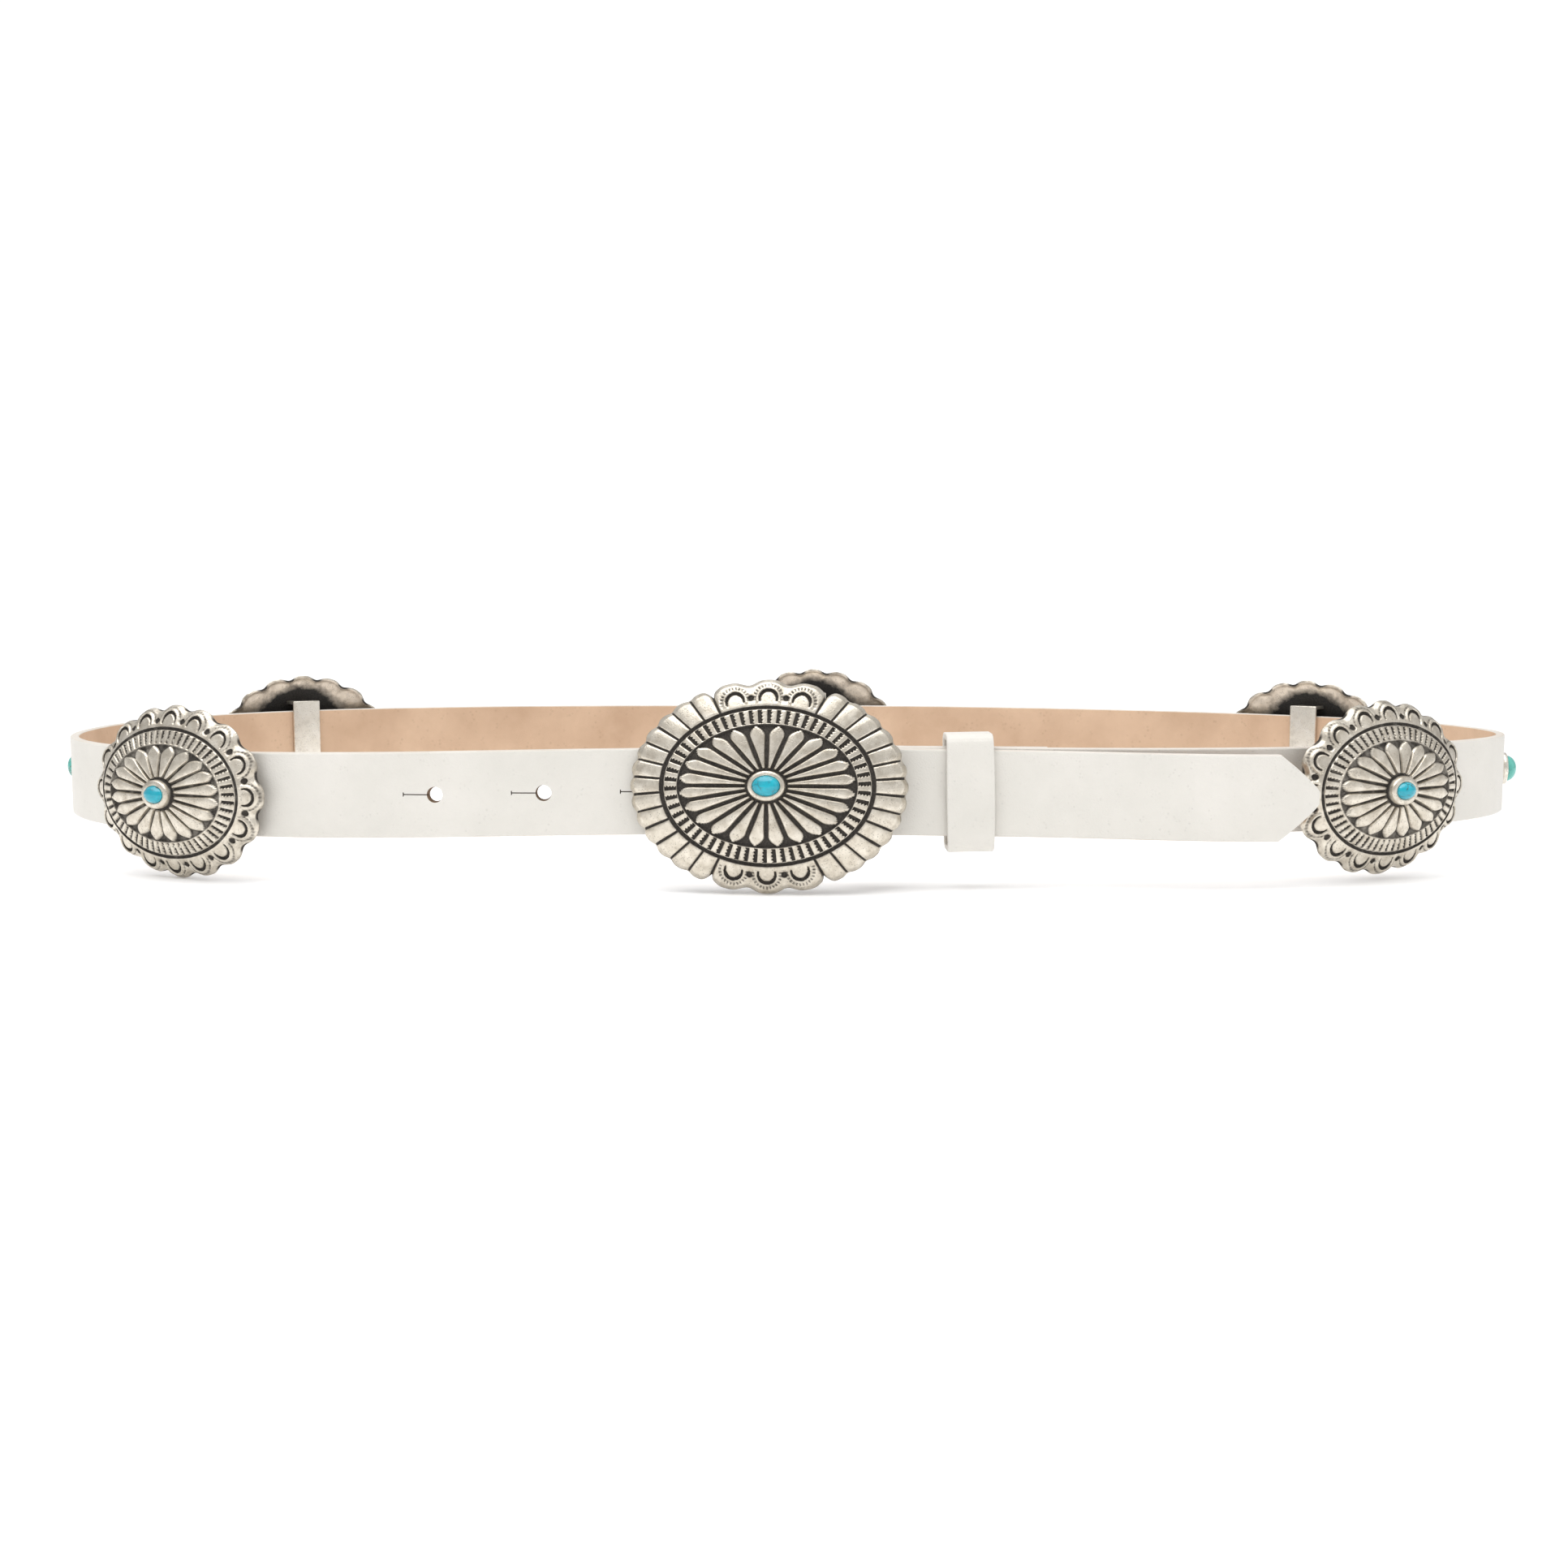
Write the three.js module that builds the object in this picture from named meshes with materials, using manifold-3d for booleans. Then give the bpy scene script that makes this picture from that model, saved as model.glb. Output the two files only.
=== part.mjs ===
import * as THREE from 'three';
import { mergeVertices } from 'three/addons/utils/BufferGeometryUtils.js';
import Module from 'manifold-3d';

// A fastened concho belt that stands on the lower edges of its plates. Millimetres, +Z up.
// The buckle faces -Y. A station is a distance along the leather from the buckle, growing towards
// +X, and an offset is a distance outwards from the middle of the leather's main layer.
// Plates have a frame of their own: x along the belt, y up, z outwards, with the rim's back at z 0.

// Clearance between pieces that touch
const fitGap = 0.3;

// The loop seen from above: a straight front between two superellipse ends
const loopHalfWidth = 189;
const loopFrontDepth = 80;
const loopBackDepth = 107;
const loopFrontStraight = 60;
const loopRoundness = 2.2;
const buckleFromLoopMiddle = 5;

// The leather
const leatherThickness = 2.2;
const strapWidth = 19.8;
const strapMiddleAtBuckle = 22.6;
const tipStation = 122.7;
const tipLength = 8.9;
const tipBluntHeight = 3;
const tipDroop = 0.8;
const foldEndStation = 64;
const foldTaper = 14;
const overlapStart = -75;
const directionReach = 1.5;
const longestFoldStep = 5;
const longestStrapStep = 8.5;
const longestOverlapStep = 8;

// Punched holes: the stud sits in the buckled one
const holeDiameter = 3.5;
const holePitch = 25;
const holesBeforeStud = 2;
const holesAfterStud = 2;
const studStation = -26.5;
const studDiameter = 2.7;
const studHeadDiameter = 4.4;
const studHeadHeight = 1.3;

// The wire bail that the folded end turns round
const bailStation = 20;
const bailWire = 2.4;
const bailSideClearance = 1.6;

// The rivet that closes the fold
const rivetStation = 57.5;
const rivetShank = 3;
const rivetHeadDiameter = 6;
const rivetHeadHeight = 0.4;

// The leather keeper
const keeperStation = 45.75;
const keeperWidth = 10.6;
const keeperWall = 1.5;
const keeperHeadroom = 2.1;
const keeperSlant = THREE.MathUtils.degToRad(1.1);

// The cast plates
const conchoWidth = 53.5;
const conchoHeight = 41.2;
const firstConchoStation = 142.8;
const conchoDome = 5.5;
const conchoPetals = 20;
const conchoLobes = 16;
// How far lobes are moved along their oval, as an angle, to be evenly spaced round its edge
const lobeSpread = 0.066;
const buckleWidth = 63;
const buckleHeight = 48.3;
const buckleDome = 5.2;
const bucklePetals = 24;
const buckleRaysPerSide = 13;
const buckleRaySector = THREE.MathUtils.degToRad(128);
const buckleLunettesPerPanel = 3;
const buckleLean = THREE.MathUtils.degToRad(7);
const buckleSwing = THREE.MathUtils.degToRad(4.7);
const domeFullness = 2.6;
const plateWall = 1.6;
const rimThickness = 1.4;
const petalRelief = 0.7;
const grooveDepth = 0.6;
const loopBarWidth = 8.4;
const loopBarThickness = 1;
const loopBarHeadroom = 2;

// Stones in their settings
const stoneWidth = 6.3;
const stoneHeight = 4.6;
const stoneDome = 2;
const bezelWall = 0.85;
const bezelDepth = 0.9;
const conchoBezelHeight = 1.4;
const buckleBezelHeight = 1;
const spotStoneDiameter = 6.9;
const spotStoneDome = 2.7;
const spotCupWall = 0.45;
const spotCupHeight = 1.4;
const spotCupFloor = 0.5;
const spotShank = 2.6;
const spotShankLength = 1.5;

// Where each plate and spot is: half pitches from the middle of the back, where a pitch is the way
// from plate to plate. Both can slide a little along the leather. A plate can also turn about its
// own upright axis, stand a little off the floor (lift) and hold the leather off its middle (ride).
const conchoPlaces = [
  { name: 'front_right', halfPitches: -4, slide: 2.2, turnDegrees: 5.5, lift: 1.2, ride: 0.1 },
  { name: 'back_right', halfPitches: -2, slide: 0, turnDegrees: 0, lift: 0, ride: -0.1 },
  { name: 'back', halfPitches: 0, slide: -4, turnDegrees: 0, lift: 1.8, ride: -1.2 },
  { name: 'back_left', halfPitches: 2, slide: -2.4, turnDegrees: 0, lift: 1.2, ride: 0 },
  { name: 'front_left', halfPitches: 4, slide: 0.8, turnDegrees: -2.5, lift: 0, ride: 0 },
];
const spotPlaces = [
  { name: 'side_right', halfPitches: -3, slide: -3 },
  { name: 'back_right', halfPitches: -1 },
  { name: 'back_left', halfPitches: 1 },
  { name: 'side_left', halfPitches: 3, slide: 4 },
];

// Rings of a plate's front from the rim to the setting. Reach is the share of the plate's half
// width, up the share of its half height, and lift how far the border's crests stand up.
const conchoRings = {
  border: { reach: 0.915, up: 0.88, lift: 0.5 },
  grooveOuter: { reach: 0.835, up: 0.77 },
  groove: { reach: 0.815, up: 0.745 },
  ladderOuter: { reach: 0.79, up: 0.72 },
  ladderInner: { reach: 0.68, up: 0.585 },
  field: { reach: 0.665, up: 0.565 },
  petalTip: { reach: 0.61, up: 0.51 },
  petalBelly: { reach: 0.47, up: 0.4 },
  petalRoot: { reach: 0.24, up: 0.24 },
};
const buckleRings = {
  border: { reach: 0.9, up: 0.88, lift: 0.4 },
  grooveOuter: { reach: 0.78, up: 0.765 },
  groove: { reach: 0.762, up: 0.74 },
  ladderOuter: { reach: 0.74, up: 0.715 },
  ladderInner: { reach: 0.665, up: 0.585 },
  field: { reach: 0.65, up: 0.565 },
  petalTip: { reach: 0.6, up: 0.52 },
  petalBelly: { reach: 0.46, up: 0.42 },
  petalRoot: { reach: 0.21, up: 0.21 },
};
const hollowRings = [
  { share: 0.9, points: 32 },
  { share: 0.7, points: 24 },
  { share: 0.35, points: 12 },
];
const grooveSides = 32;
const lobeSteps = [0, 0.2, 0.4, 0.6, 0.8];
const lobeNotch = 0.06;
const lunetteNotch = 0.045;
const raySteps = [0, 0.25, 0.75];
const rayNotch = 0.018;
const panelNotch = 0.1;

const TURN = Math.PI * 2;
const wasm = await Module();
wasm.setup();

const materials = {
  whiteLeather: new THREE.MeshStandardMaterial({ color: 0xebebe4, roughness: 0.6, metalness: 0 }),
  castSilver: new THREE.MeshStandardMaterial({ color: 0xbcb4a8, roughness: 0.4, metalness: 0.9 }),
  turquoise: new THREE.MeshStandardMaterial({ color: 0x2fa3c0, roughness: 0.25, metalness: 0 }),
  greenTurquoise: new THREE.MeshStandardMaterial({ color: 0x6cc3b0, roughness: 0.3, metalness: 0 }),
};

// Solids

function solidOf(geometry) {
  const plain = geometry.clone();
  plain.deleteAttribute('normal');
  plain.deleteAttribute('uv');
  const merged = mergeVertices(plain, 1e-5);
  return new wasm.Manifold(new wasm.Mesh({
    numProp: 3,
    vertProperties: new Float32Array(merged.attributes.position.array),
    triVerts: new Uint32Array(merged.index.array),
  }));
}

function geometryOf(solid) {
  const mesh = solid.getMesh();
  const geometry = new THREE.BufferGeometry();
  geometry.setAttribute('position', new THREE.BufferAttribute(mesh.vertProperties, mesh.numProp));
  geometry.setIndex(new THREE.BufferAttribute(mesh.triVerts, 1));
  return geometry;
}

function join(first, ...others) {
  return others.reduce((whole, other) => whole.add(solidOf(other)), solidOf(first));
}

function cut(body, ...tools) {
  return tools.reduce((whole, tool) => whole.subtract(solidOf(tool)), solidOf(body));
}

// A round rod between two points
function rod(from, to, diameter, sides) {
  const along = new THREE.Vector3().subVectors(to, from);
  const geometry = new THREE.CylinderGeometry(diameter / 2, diameter / 2, along.length(), sides);
  const turn = new THREE.Quaternion();
  turn.setFromUnitVectors(new THREE.Vector3(0, 1, 0), along.clone().normalize());
  geometry.applyQuaternion(turn);
  geometry.translate(...new THREE.Vector3().addVectors(from, to).multiplyScalar(0.5).toArray());
  return geometry;
}

function block(from, to) {
  const geometry = new THREE.BoxGeometry(to[0] - from[0], to[1] - from[1], to[2] - from[2]);
  return geometry.translate(...from.map((low, axis) => (low + to[axis]) / 2));
}

function steps(from, to, longest) {
  const count = Math.ceil(Math.abs(to - from) / longest);
  return Array.from({ length: count + 1 }, (_, k) => from + (to - from) * k / count);
}

// The loop's course

function loopOutline(stepsPerQuarter = 96) {
  const power = 2 / loopRoundness;
  const curved = loopHalfWidth - loopFrontStraight;
  const points = [];
  const quarter = (side, straight, span, depth, backwards, place) => {
    for (let k = 0; k < stepsPerQuarter; k += 1) {
      const share = k / stepsPerQuarter;
      const angle = (backwards ? 1 - share : share) * Math.PI / 2;
      const across = straight + span * Math.sin(angle) ** power;
      points.push([side * across, place(depth * Math.cos(angle) ** power)]);
    }
  };
  const front = (rise) => loopFrontDepth - rise;
  const back = (rise) => loopFrontDepth + rise;
  quarter(1, loopFrontStraight, curved, loopFrontDepth, false, front);
  quarter(1, 0, loopHalfWidth, loopBackDepth, true, back);
  quarter(-1, 0, loopHalfWidth, loopBackDepth, false, back);
  quarter(-1, loopFrontStraight, curved, loopFrontDepth, true, front);
  return points.map(([x, y]) => new THREE.Vector2(x + buckleFromLoopMiddle, y));
}

const outline = loopOutline();
const lengths = [0];
outline.forEach((point, k) => {
  lengths.push(lengths[k] + point.distanceTo(outline[(k + 1) % outline.length]));
});
const loopLength = lengths[outline.length];
// The outline starts at the right end of the straight front
const outlineStart = buckleFromLoopMiddle + loopFrontStraight;

function onLoop(station) {
  const along = THREE.MathUtils.euclideanModulo(station - outlineStart, loopLength);
  let low = 0;
  let high = outline.length;
  while (high - low > 1) {
    const middle = (low + high) >> 1;
    if (lengths[middle] <= along) low = middle;
    else high = middle;
  }
  const share = (along - lengths[low]) / (lengths[high] - lengths[low]);
  return outline[low].clone().lerp(outline[high % outline.length], share);
}

// A point beside the loop, and the loop's direction there
function besideLoop(station, offset) {
  const ahead = onLoop(station + directionReach);
  const forward = ahead.sub(onLoop(station - directionReach)).normalize();
  const outward = new THREE.Vector2(forward.y, -forward.x);
  return { point: onLoop(station).addScaledVector(outward, offset), forward, outward };
}

// Height of a plate's smooth front above the rim's back, at a share of its radius
const frontHeight = (dome, share) => rimThickness + dome * (1 - share ** domeFullness);

// Height of its hollow back: flat round the rim, then straight from ring to ring
function hollowHeight(dome, share) {
  const ringHeight = (ring) => Math.max(0, frontHeight(dome, ring.share) - plateWall);
  const next = hollowRings.findIndex((ring) => ring.share <= share);
  if (next === 0) return 0;
  if (next < 0) return ringHeight(hollowRings.at(-1));
  const [outer, inner] = [hollowRings[next - 1], hollowRings[next]];
  const inward = (outer.share - share) / (outer.share - inner.share);
  return THREE.MathUtils.lerp(ringHeight(outer), ringHeight(inner), inward);
}

const conchoMiddle = conchoHeight / 2;
const conchoPitch = (loopLength - 2 * firstConchoStation) / 4;
const stationOf = ({ halfPitches, slide = 0 }) =>
  loopLength / 2 + halfPitches * conchoPitch / 2 + slide;

// Height of the leather's middle, eased from each plate to the next
const strapSupports = [
  { station: 0, middle: strapMiddleAtBuckle },
  ...conchoPlaces.map((place) => ({
    station: stationOf(place), middle: conchoMiddle + place.lift + place.ride,
  })),
  { station: loopLength, middle: strapMiddleAtBuckle },
];

function strapMiddle(station) {
  const along = THREE.MathUtils.euclideanModulo(station, loopLength);
  const next = Math.max(1, strapSupports.findIndex((support) => support.station >= along));
  const [from, to] = [strapSupports[next - 1], strapSupports[next]];
  const eased = THREE.MathUtils.smoothstep(along, from.station, to.station);
  return THREE.MathUtils.lerp(from.middle, to.middle, eased);
}

// How far out the rim's back must lie so that the leather passes through the plate's hollow
function rimOffset({ turnDegrees, ride, ...place }) {
  const station = stationOf(place);
  const here = besideLoop(station, 0);
  const turn = THREE.MathUtils.degToRad(turnDegrees);
  const out = here.outward.clone().rotateAround(new THREE.Vector2(), turn);
  const up = (strapWidth / 2 + Math.abs(ride)) / conchoMiddle;
  const needed = steps(-conchoWidth / 2, conchoWidth / 2, 1).map((reach) => {
    const leather = besideLoop(station + reach, leatherThickness / 2).point.sub(here.point);
    const share = Math.hypot(leather.dot(here.forward) / (conchoWidth / 2), up);
    return leather.dot(out) - hollowHeight(conchoDome, share);
  });
  return Math.max(...needed) + fitGap;
}

// The tip lies over the nearest concho's edge: the offset that carries it clear of the cast front
function offsetOverConcho() {
  const [nearest] = conchoPlaces;
  const turn = THREE.MathUtils.degToRad(nearest.turnDegrees);
  const station = stationOf(nearest);
  const { outward, forward, point } = besideLoop(station, rimOffset(nearest));
  const along = forward.clone().rotateAround(new THREE.Vector2(), turn);
  const out = outward.clone().rotateAround(new THREE.Vector2(), turn);
  const front = steps(tipStation - station, -conchoWidth / 2, 1).map((reach) => {
    const share = -reach / (conchoWidth / 2);
    const relief = Math.max(petalRelief / 2, conchoRings.border.lift);
    const cast = point.clone().addScaledVector(along, reach)
      .addScaledVector(out, frontHeight(conchoDome, share) + relief);
    const loop = besideLoop(station + reach, 0);
    return cast.sub(loop.point).dot(loop.outward);
  });
  return Math.max(...front) + fitGap + leatherThickness / 2;
}

// Offsets of the layers beside the buckle
const turnRadius = bailWire / 2 + fitGap + leatherThickness / 2;
const foldOffset = -(leatherThickness + fitGap);
const outerOffset = leatherThickness + rivetHeadHeight + 2 * fitGap;
const overlapFull = bailStation - turnRadius - leatherThickness;
const tipOffset = offsetOverConcho();

function foldOffsetAt(station) {
  const opened = 1 - THREE.MathUtils.smoothstep(station, bailStation, bailStation + foldTaper);
  return THREE.MathUtils.lerp(foldOffset, -2 * turnRadius, opened);
}

function outerOffsetAt(station) {
  const lifted = THREE.MathUtils.smoothstep(station, overlapStart, overlapFull);
  const standing = THREE.MathUtils.smoothstep(station, loopFrontStraight, tipStation);
  return outerOffset * lifted + (tipOffset - outerOffset) * standing;
}

function outerMiddle(station) {
  return strapMiddle(station) - tipDroop * THREE.MathUtils.smoothstep(station, 0, tipStation);
}

// Leather

// Half the strap's height, narrowing over the pointed tip
function halfHeightAt(station) {
  const toApex = Math.max(0, tipStation - station);
  const share = Math.min(1, toApex / tipLength);
  return THREE.MathUtils.lerp(tipBluntHeight / 2, strapWidth / 2, share ** 0.85);
}

// The strap's sections in order, from the folded end round the bail and the loop to the tip
function strapSections() {
  const sections = [];
  const add = (station, offset, middle, half = strapWidth / 2) => {
    sections.push({ point: besideLoop(station, offset).point, middle, half });
  };
  for (const station of steps(foldEndStation, bailStation + leatherThickness, longestFoldStep)) {
    add(station, foldOffsetAt(station), strapMiddle(station));
  }
  const bar = besideLoop(bailStation, -turnRadius);
  for (const angle of steps(-Math.PI / 2, Math.PI / 2, Math.PI / 7)) {
    const point = bar.point.clone()
      .addScaledVector(bar.forward, -turnRadius * Math.cos(angle))
      .addScaledVector(bar.outward, turnRadius * Math.sin(angle));
    sections.push({ point, middle: strapMiddle(bailStation), half: strapWidth / 2 });
  }
  const layerStart = bailStation + 2 * leatherThickness;
  for (const station of steps(layerStart, loopLength + overlapStart, longestStrapStep)) {
    add(station, 0, strapMiddle(station));
  }
  const overlapNext = overlapStart + longestOverlapStep;
  for (const station of steps(overlapNext, tipStation - tipLength, longestOverlapStep)) {
    add(station, outerOffsetAt(station), outerMiddle(station));
  }
  for (const station of steps(tipStation - tipLength, tipStation, tipLength / 3).slice(1)) {
    add(station, outerOffsetAt(station), outerMiddle(station), halfHeightAt(station));
  }
  return sections;
}

// A flat band with square edges through the sections
function bandGeometry(sections, thickness) {
  const positions = [];
  sections.forEach((section, k) => {
    const before = sections[Math.max(0, k - 1)].point;
    const after = sections[Math.min(sections.length - 1, k + 1)].point;
    const forward = after.clone().sub(before).normalize();
    const side = new THREE.Vector2(forward.y, -forward.x).multiplyScalar(thickness / 2);
    const { x, y } = section.point;
    const low = section.middle - section.half;
    const high = section.middle + section.half;
    positions.push(x + side.x, y + side.y, low, x + side.x, y + side.y, high);
    positions.push(x - side.x, y - side.y, high, x - side.x, y - side.y, low);
  });
  const faces = [0, 1, 2, 0, 2, 3];
  for (let k = 0; k + 1 < sections.length; k += 1) {
    for (let side = 0; side < 4; side += 1) {
      const a = 4 * k + side;
      const b = 4 * k + (side + 1) % 4;
      faces.push(a, b + 4, b, a, a + 4, b + 4);
    }
  }
  const last = 4 * (sections.length - 1);
  faces.push(last, last + 2, last + 1, last, last + 3, last + 2);
  const geometry = new THREE.BufferGeometry();
  geometry.setAttribute('position', new THREE.Float32BufferAttribute(positions, 3));
  geometry.setIndex(faces);
  return geometry;
}

// A round tool across the leather, between two offsets
function punch(station, fromOffset, toOffset, height, diameter, sides = 12) {
  const from = besideLoop(station, fromOffset).point;
  const to = besideLoop(station, toOffset).point;
  return rod(new THREE.Vector3(from.x, from.y, height), new THREE.Vector3(to.x, to.y, height),
    diameter, sides);
}

function makeStrap() {
  const tools = [];
  const reach = leatherThickness / 2 + fitGap / 2;
  for (let k = -holesBeforeStud; k <= holesAfterStud; k += 1) {
    const station = studStation + k * holePitch;
    const offset = station > overlapStart ? outerOffsetAt(station) : 0;
    tools.push(punch(station, offset - reach, offset + reach, outerMiddle(station), holeDiameter));
  }
  tools.push(punch(rivetStation, foldOffset - reach, reach, strapMiddle(rivetStation),
    rivetShank + 2 * fitGap));
  for (const place of spotPlaces) {
    const station = stationOf(place);
    const floor = leatherThickness / 2 - spotShankLength;
    tools.push(punch(station, floor, leatherThickness, strapMiddle(station),
      spotShank + 2 * fitGap));
  }
  const band = cut(bandGeometry(strapSections(), leatherThickness), ...tools);
  return named('strap', geometryOf(band), materials.whiteLeather);
}

function makeKeeper() {
  const inner = foldOffset - leatherThickness / 2 - fitGap;
  const outer = outerOffsetAt(keeperStation) + leatherThickness / 2 + fitGap;
  const half = strapWidth / 2 + keeperHeadroom;
  const ringShape = (Kind, grow, corner) => {
    const [left, right, top] = [inner - grow, outer + grow, half + grow];
    return new Kind()
      .moveTo(left + corner, -top).lineTo(right - corner, -top)
      .absarc(right - corner, corner - top, corner, -Math.PI / 2, 0)
      .absarc(right - corner, top - corner, corner, 0, Math.PI / 2)
      .absarc(left + corner, top - corner, corner, Math.PI / 2, Math.PI)
      .absarc(left + corner, corner - top, corner, Math.PI, Math.PI * 1.5);
  };
  const shape = ringShape(THREE.Shape, keeperWall, keeperWall + 0.4);
  shape.holes.push(ringShape(THREE.Path, 0, 0.4));
  const geometry = new THREE.ExtrudeGeometry(shape, {
    depth: keeperWidth, bevelEnabled: false, curveSegments: 3,
  });
  // The section's x is the offset and its y the height; the extrusion runs along the belt
  geometry.translate(0, 0, -keeperWidth / 2);
  geometry.applyMatrix4(new THREE.Matrix4().makeBasis(
    new THREE.Vector3(0, -1, 0), new THREE.Vector3(0, 0, 1), new THREE.Vector3(-1, 0, 0)));
  const mesh = named('keeper', geometry, materials.whiteLeather);
  const at = onLoop(keeperStation);
  mesh.position.set(at.x, at.y, outerMiddle(keeperStation));
  mesh.rotation.y = -keeperSlant;
  return mesh;
}

function makeFoldRivet() {
  const inside = foldOffset - leatherThickness / 2 - fitGap;
  const outside = leatherThickness / 2 + fitGap;
  const head = rivetHeadDiameter / 2;
  const shank = rivetShank / 2;
  const profile = [
    [0, inside - 2 * rivetHeadHeight], [head * 0.6, inside - 1.7 * rivetHeadHeight],
    [head, inside - 0.6 * rivetHeadHeight], [head, inside], [shank, inside], [shank, outside],
    [head, outside], [head, outside + rivetHeadHeight], [0, outside + rivetHeadHeight],
  ];
  const geometry = new THREE.LatheGeometry(profile.map(([r, h]) => new THREE.Vector2(r, h)), 10);
  geometry.rotateX(Math.PI);
  const mesh = named('fold_rivet', geometry, materials.castSilver);
  const at = onLoop(rivetStation);
  mesh.position.set(at.x, at.y, strapMiddle(rivetStation));
  return mesh;
}

// Cast plates

function ringOf(angles, across, up, heightAt, stretchAt = () => 1) {
  return angles.map((angle, k) => ({
    angle,
    point: [across * stretchAt(k) * Math.cos(angle), up * stretchAt(k) * Math.sin(angle),
      heightAt(k)],
  }));
}

const evenAngles = (count) => Array.from({ length: count }, (_, k) => k * TURN / count);

// Joins rings of any counts into one closed skin: from the middle of the front, over the rim, to
// the middle of the back
function skinOfRings(rings, frontMiddle, backMiddle) {
  const positions = [];
  const faces = [];
  const starts = rings.map((ring) => {
    const start = positions.length / 3;
    ring.forEach(({ point }) => positions.push(...point));
    return start;
  });
  const angleOf = (ring, k) => ring[k % ring.length].angle + (k >= ring.length ? TURN : 0);
  for (let r = 0; r + 1 < rings.length; r += 1) {
    const [inner, outer] = [rings[r], rings[r + 1]];
    const at = (ring, start, k) => start + (k % ring.length);
    let i = 0;
    let j = 0;
    while (i < inner.length || j < outer.length) {
      const innerNext = i < inner.length ? angleOf(inner, i + 1) : Infinity;
      const outerNext = j < outer.length ? angleOf(outer, j + 1) : Infinity;
      const here = at(inner, starts[r], i);
      const there = at(outer, starts[r + 1], j);
      if (outerNext <= innerNext) {
        faces.push(there, at(outer, starts[r + 1], j + 1), here);
        j += 1;
      } else {
        faces.push(there, at(inner, starts[r], i + 1), here);
        i += 1;
      }
    }
  }
  const fan = (ring, start, height, flip) => {
    const middle = positions.length / 3;
    positions.push(0, 0, height);
    ring.forEach((_, k) => {
      const next = start + (k + 1) % ring.length;
      faces.push(middle, flip ? next : start + k, flip ? start + k : next);
    });
  };
  fan(rings[0], starts[0], frontMiddle, false);
  fan(rings.at(-1), starts.at(-1), backMiddle, true);
  const geometry = new THREE.BufferGeometry();
  geometry.setAttribute('position', new THREE.Float32BufferAttribute(positions, 3));
  geometry.setIndex(faces);
  return geometry;
}

// A plate's edge is made of runs of lobes or rays: from one angle to another, a count of them
// with points at shares of each one's width, and notches between them
const quarter = Math.PI / 2;
const lobeHalf = Math.PI / conchoLobes;
const rayHalf = buckleRaySector / 2;
const conchoRuns = [
  {
    from: -lobeHalf, to: TURN - lobeHalf, count: conchoLobes, shares: lobeSteps, notch: lobeNotch,
    firstNotch: lobeNotch, spread: lobeSpread,
  },
];
const buckleRuns = [0, 1, 2, 3].map((side) => {
  const half = side % 2 ? quarter - rayHalf : rayHalf;
  const run = {
    from: side * quarter - half, to: side * quarter + half, firstNotch: panelNotch, spread: 0,
  };
  return side % 2
    ? { ...run, count: buckleLunettesPerPanel, shares: lobeSteps, notch: lunetteNotch }
    : { ...run, count: buckleRaysPerSide, shares: raySteps, notch: rayNotch };
});

// Points round a plate in order of their angles: shares of each lobe's width, marked by a rule
function roundRuns(runs, sharesOf, mark) {
  const points = runs.flatMap((run) => {
    const width = (run.to - run.from) / run.count;
    return Array.from({ length: run.count }).flatMap((_, k) => sharesOf(run).map((share) => {
      const even = run.from + (k + share) * width;
      const angle = THREE.MathUtils.euclideanModulo(even + run.spread * Math.sin(2 * even), TURN);
      return { angle, ...mark(run, k, share) };
    }));
  });
  return points.sort((a, b) => a.angle - b.angle);
}

// The outline's points, each with the share that it is pulled in
const edgeOf = (runs) => roundRuns(runs, (run) => run.shares, (run, k, share) => {
  const notch = k === 0 && share === 0 ? run.firstNotch : run.notch;
  return { pulled: notch * (1 - Math.sin(Math.PI * share)) ** 2 };
});

// The raised border's points: a valley where a lobe starts and a crest at its middle
const borderOf = (runs) => roundRuns(runs, () => [0, 0.5], (run, k, share) => ({
  crest: share > 0,
}));

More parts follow.
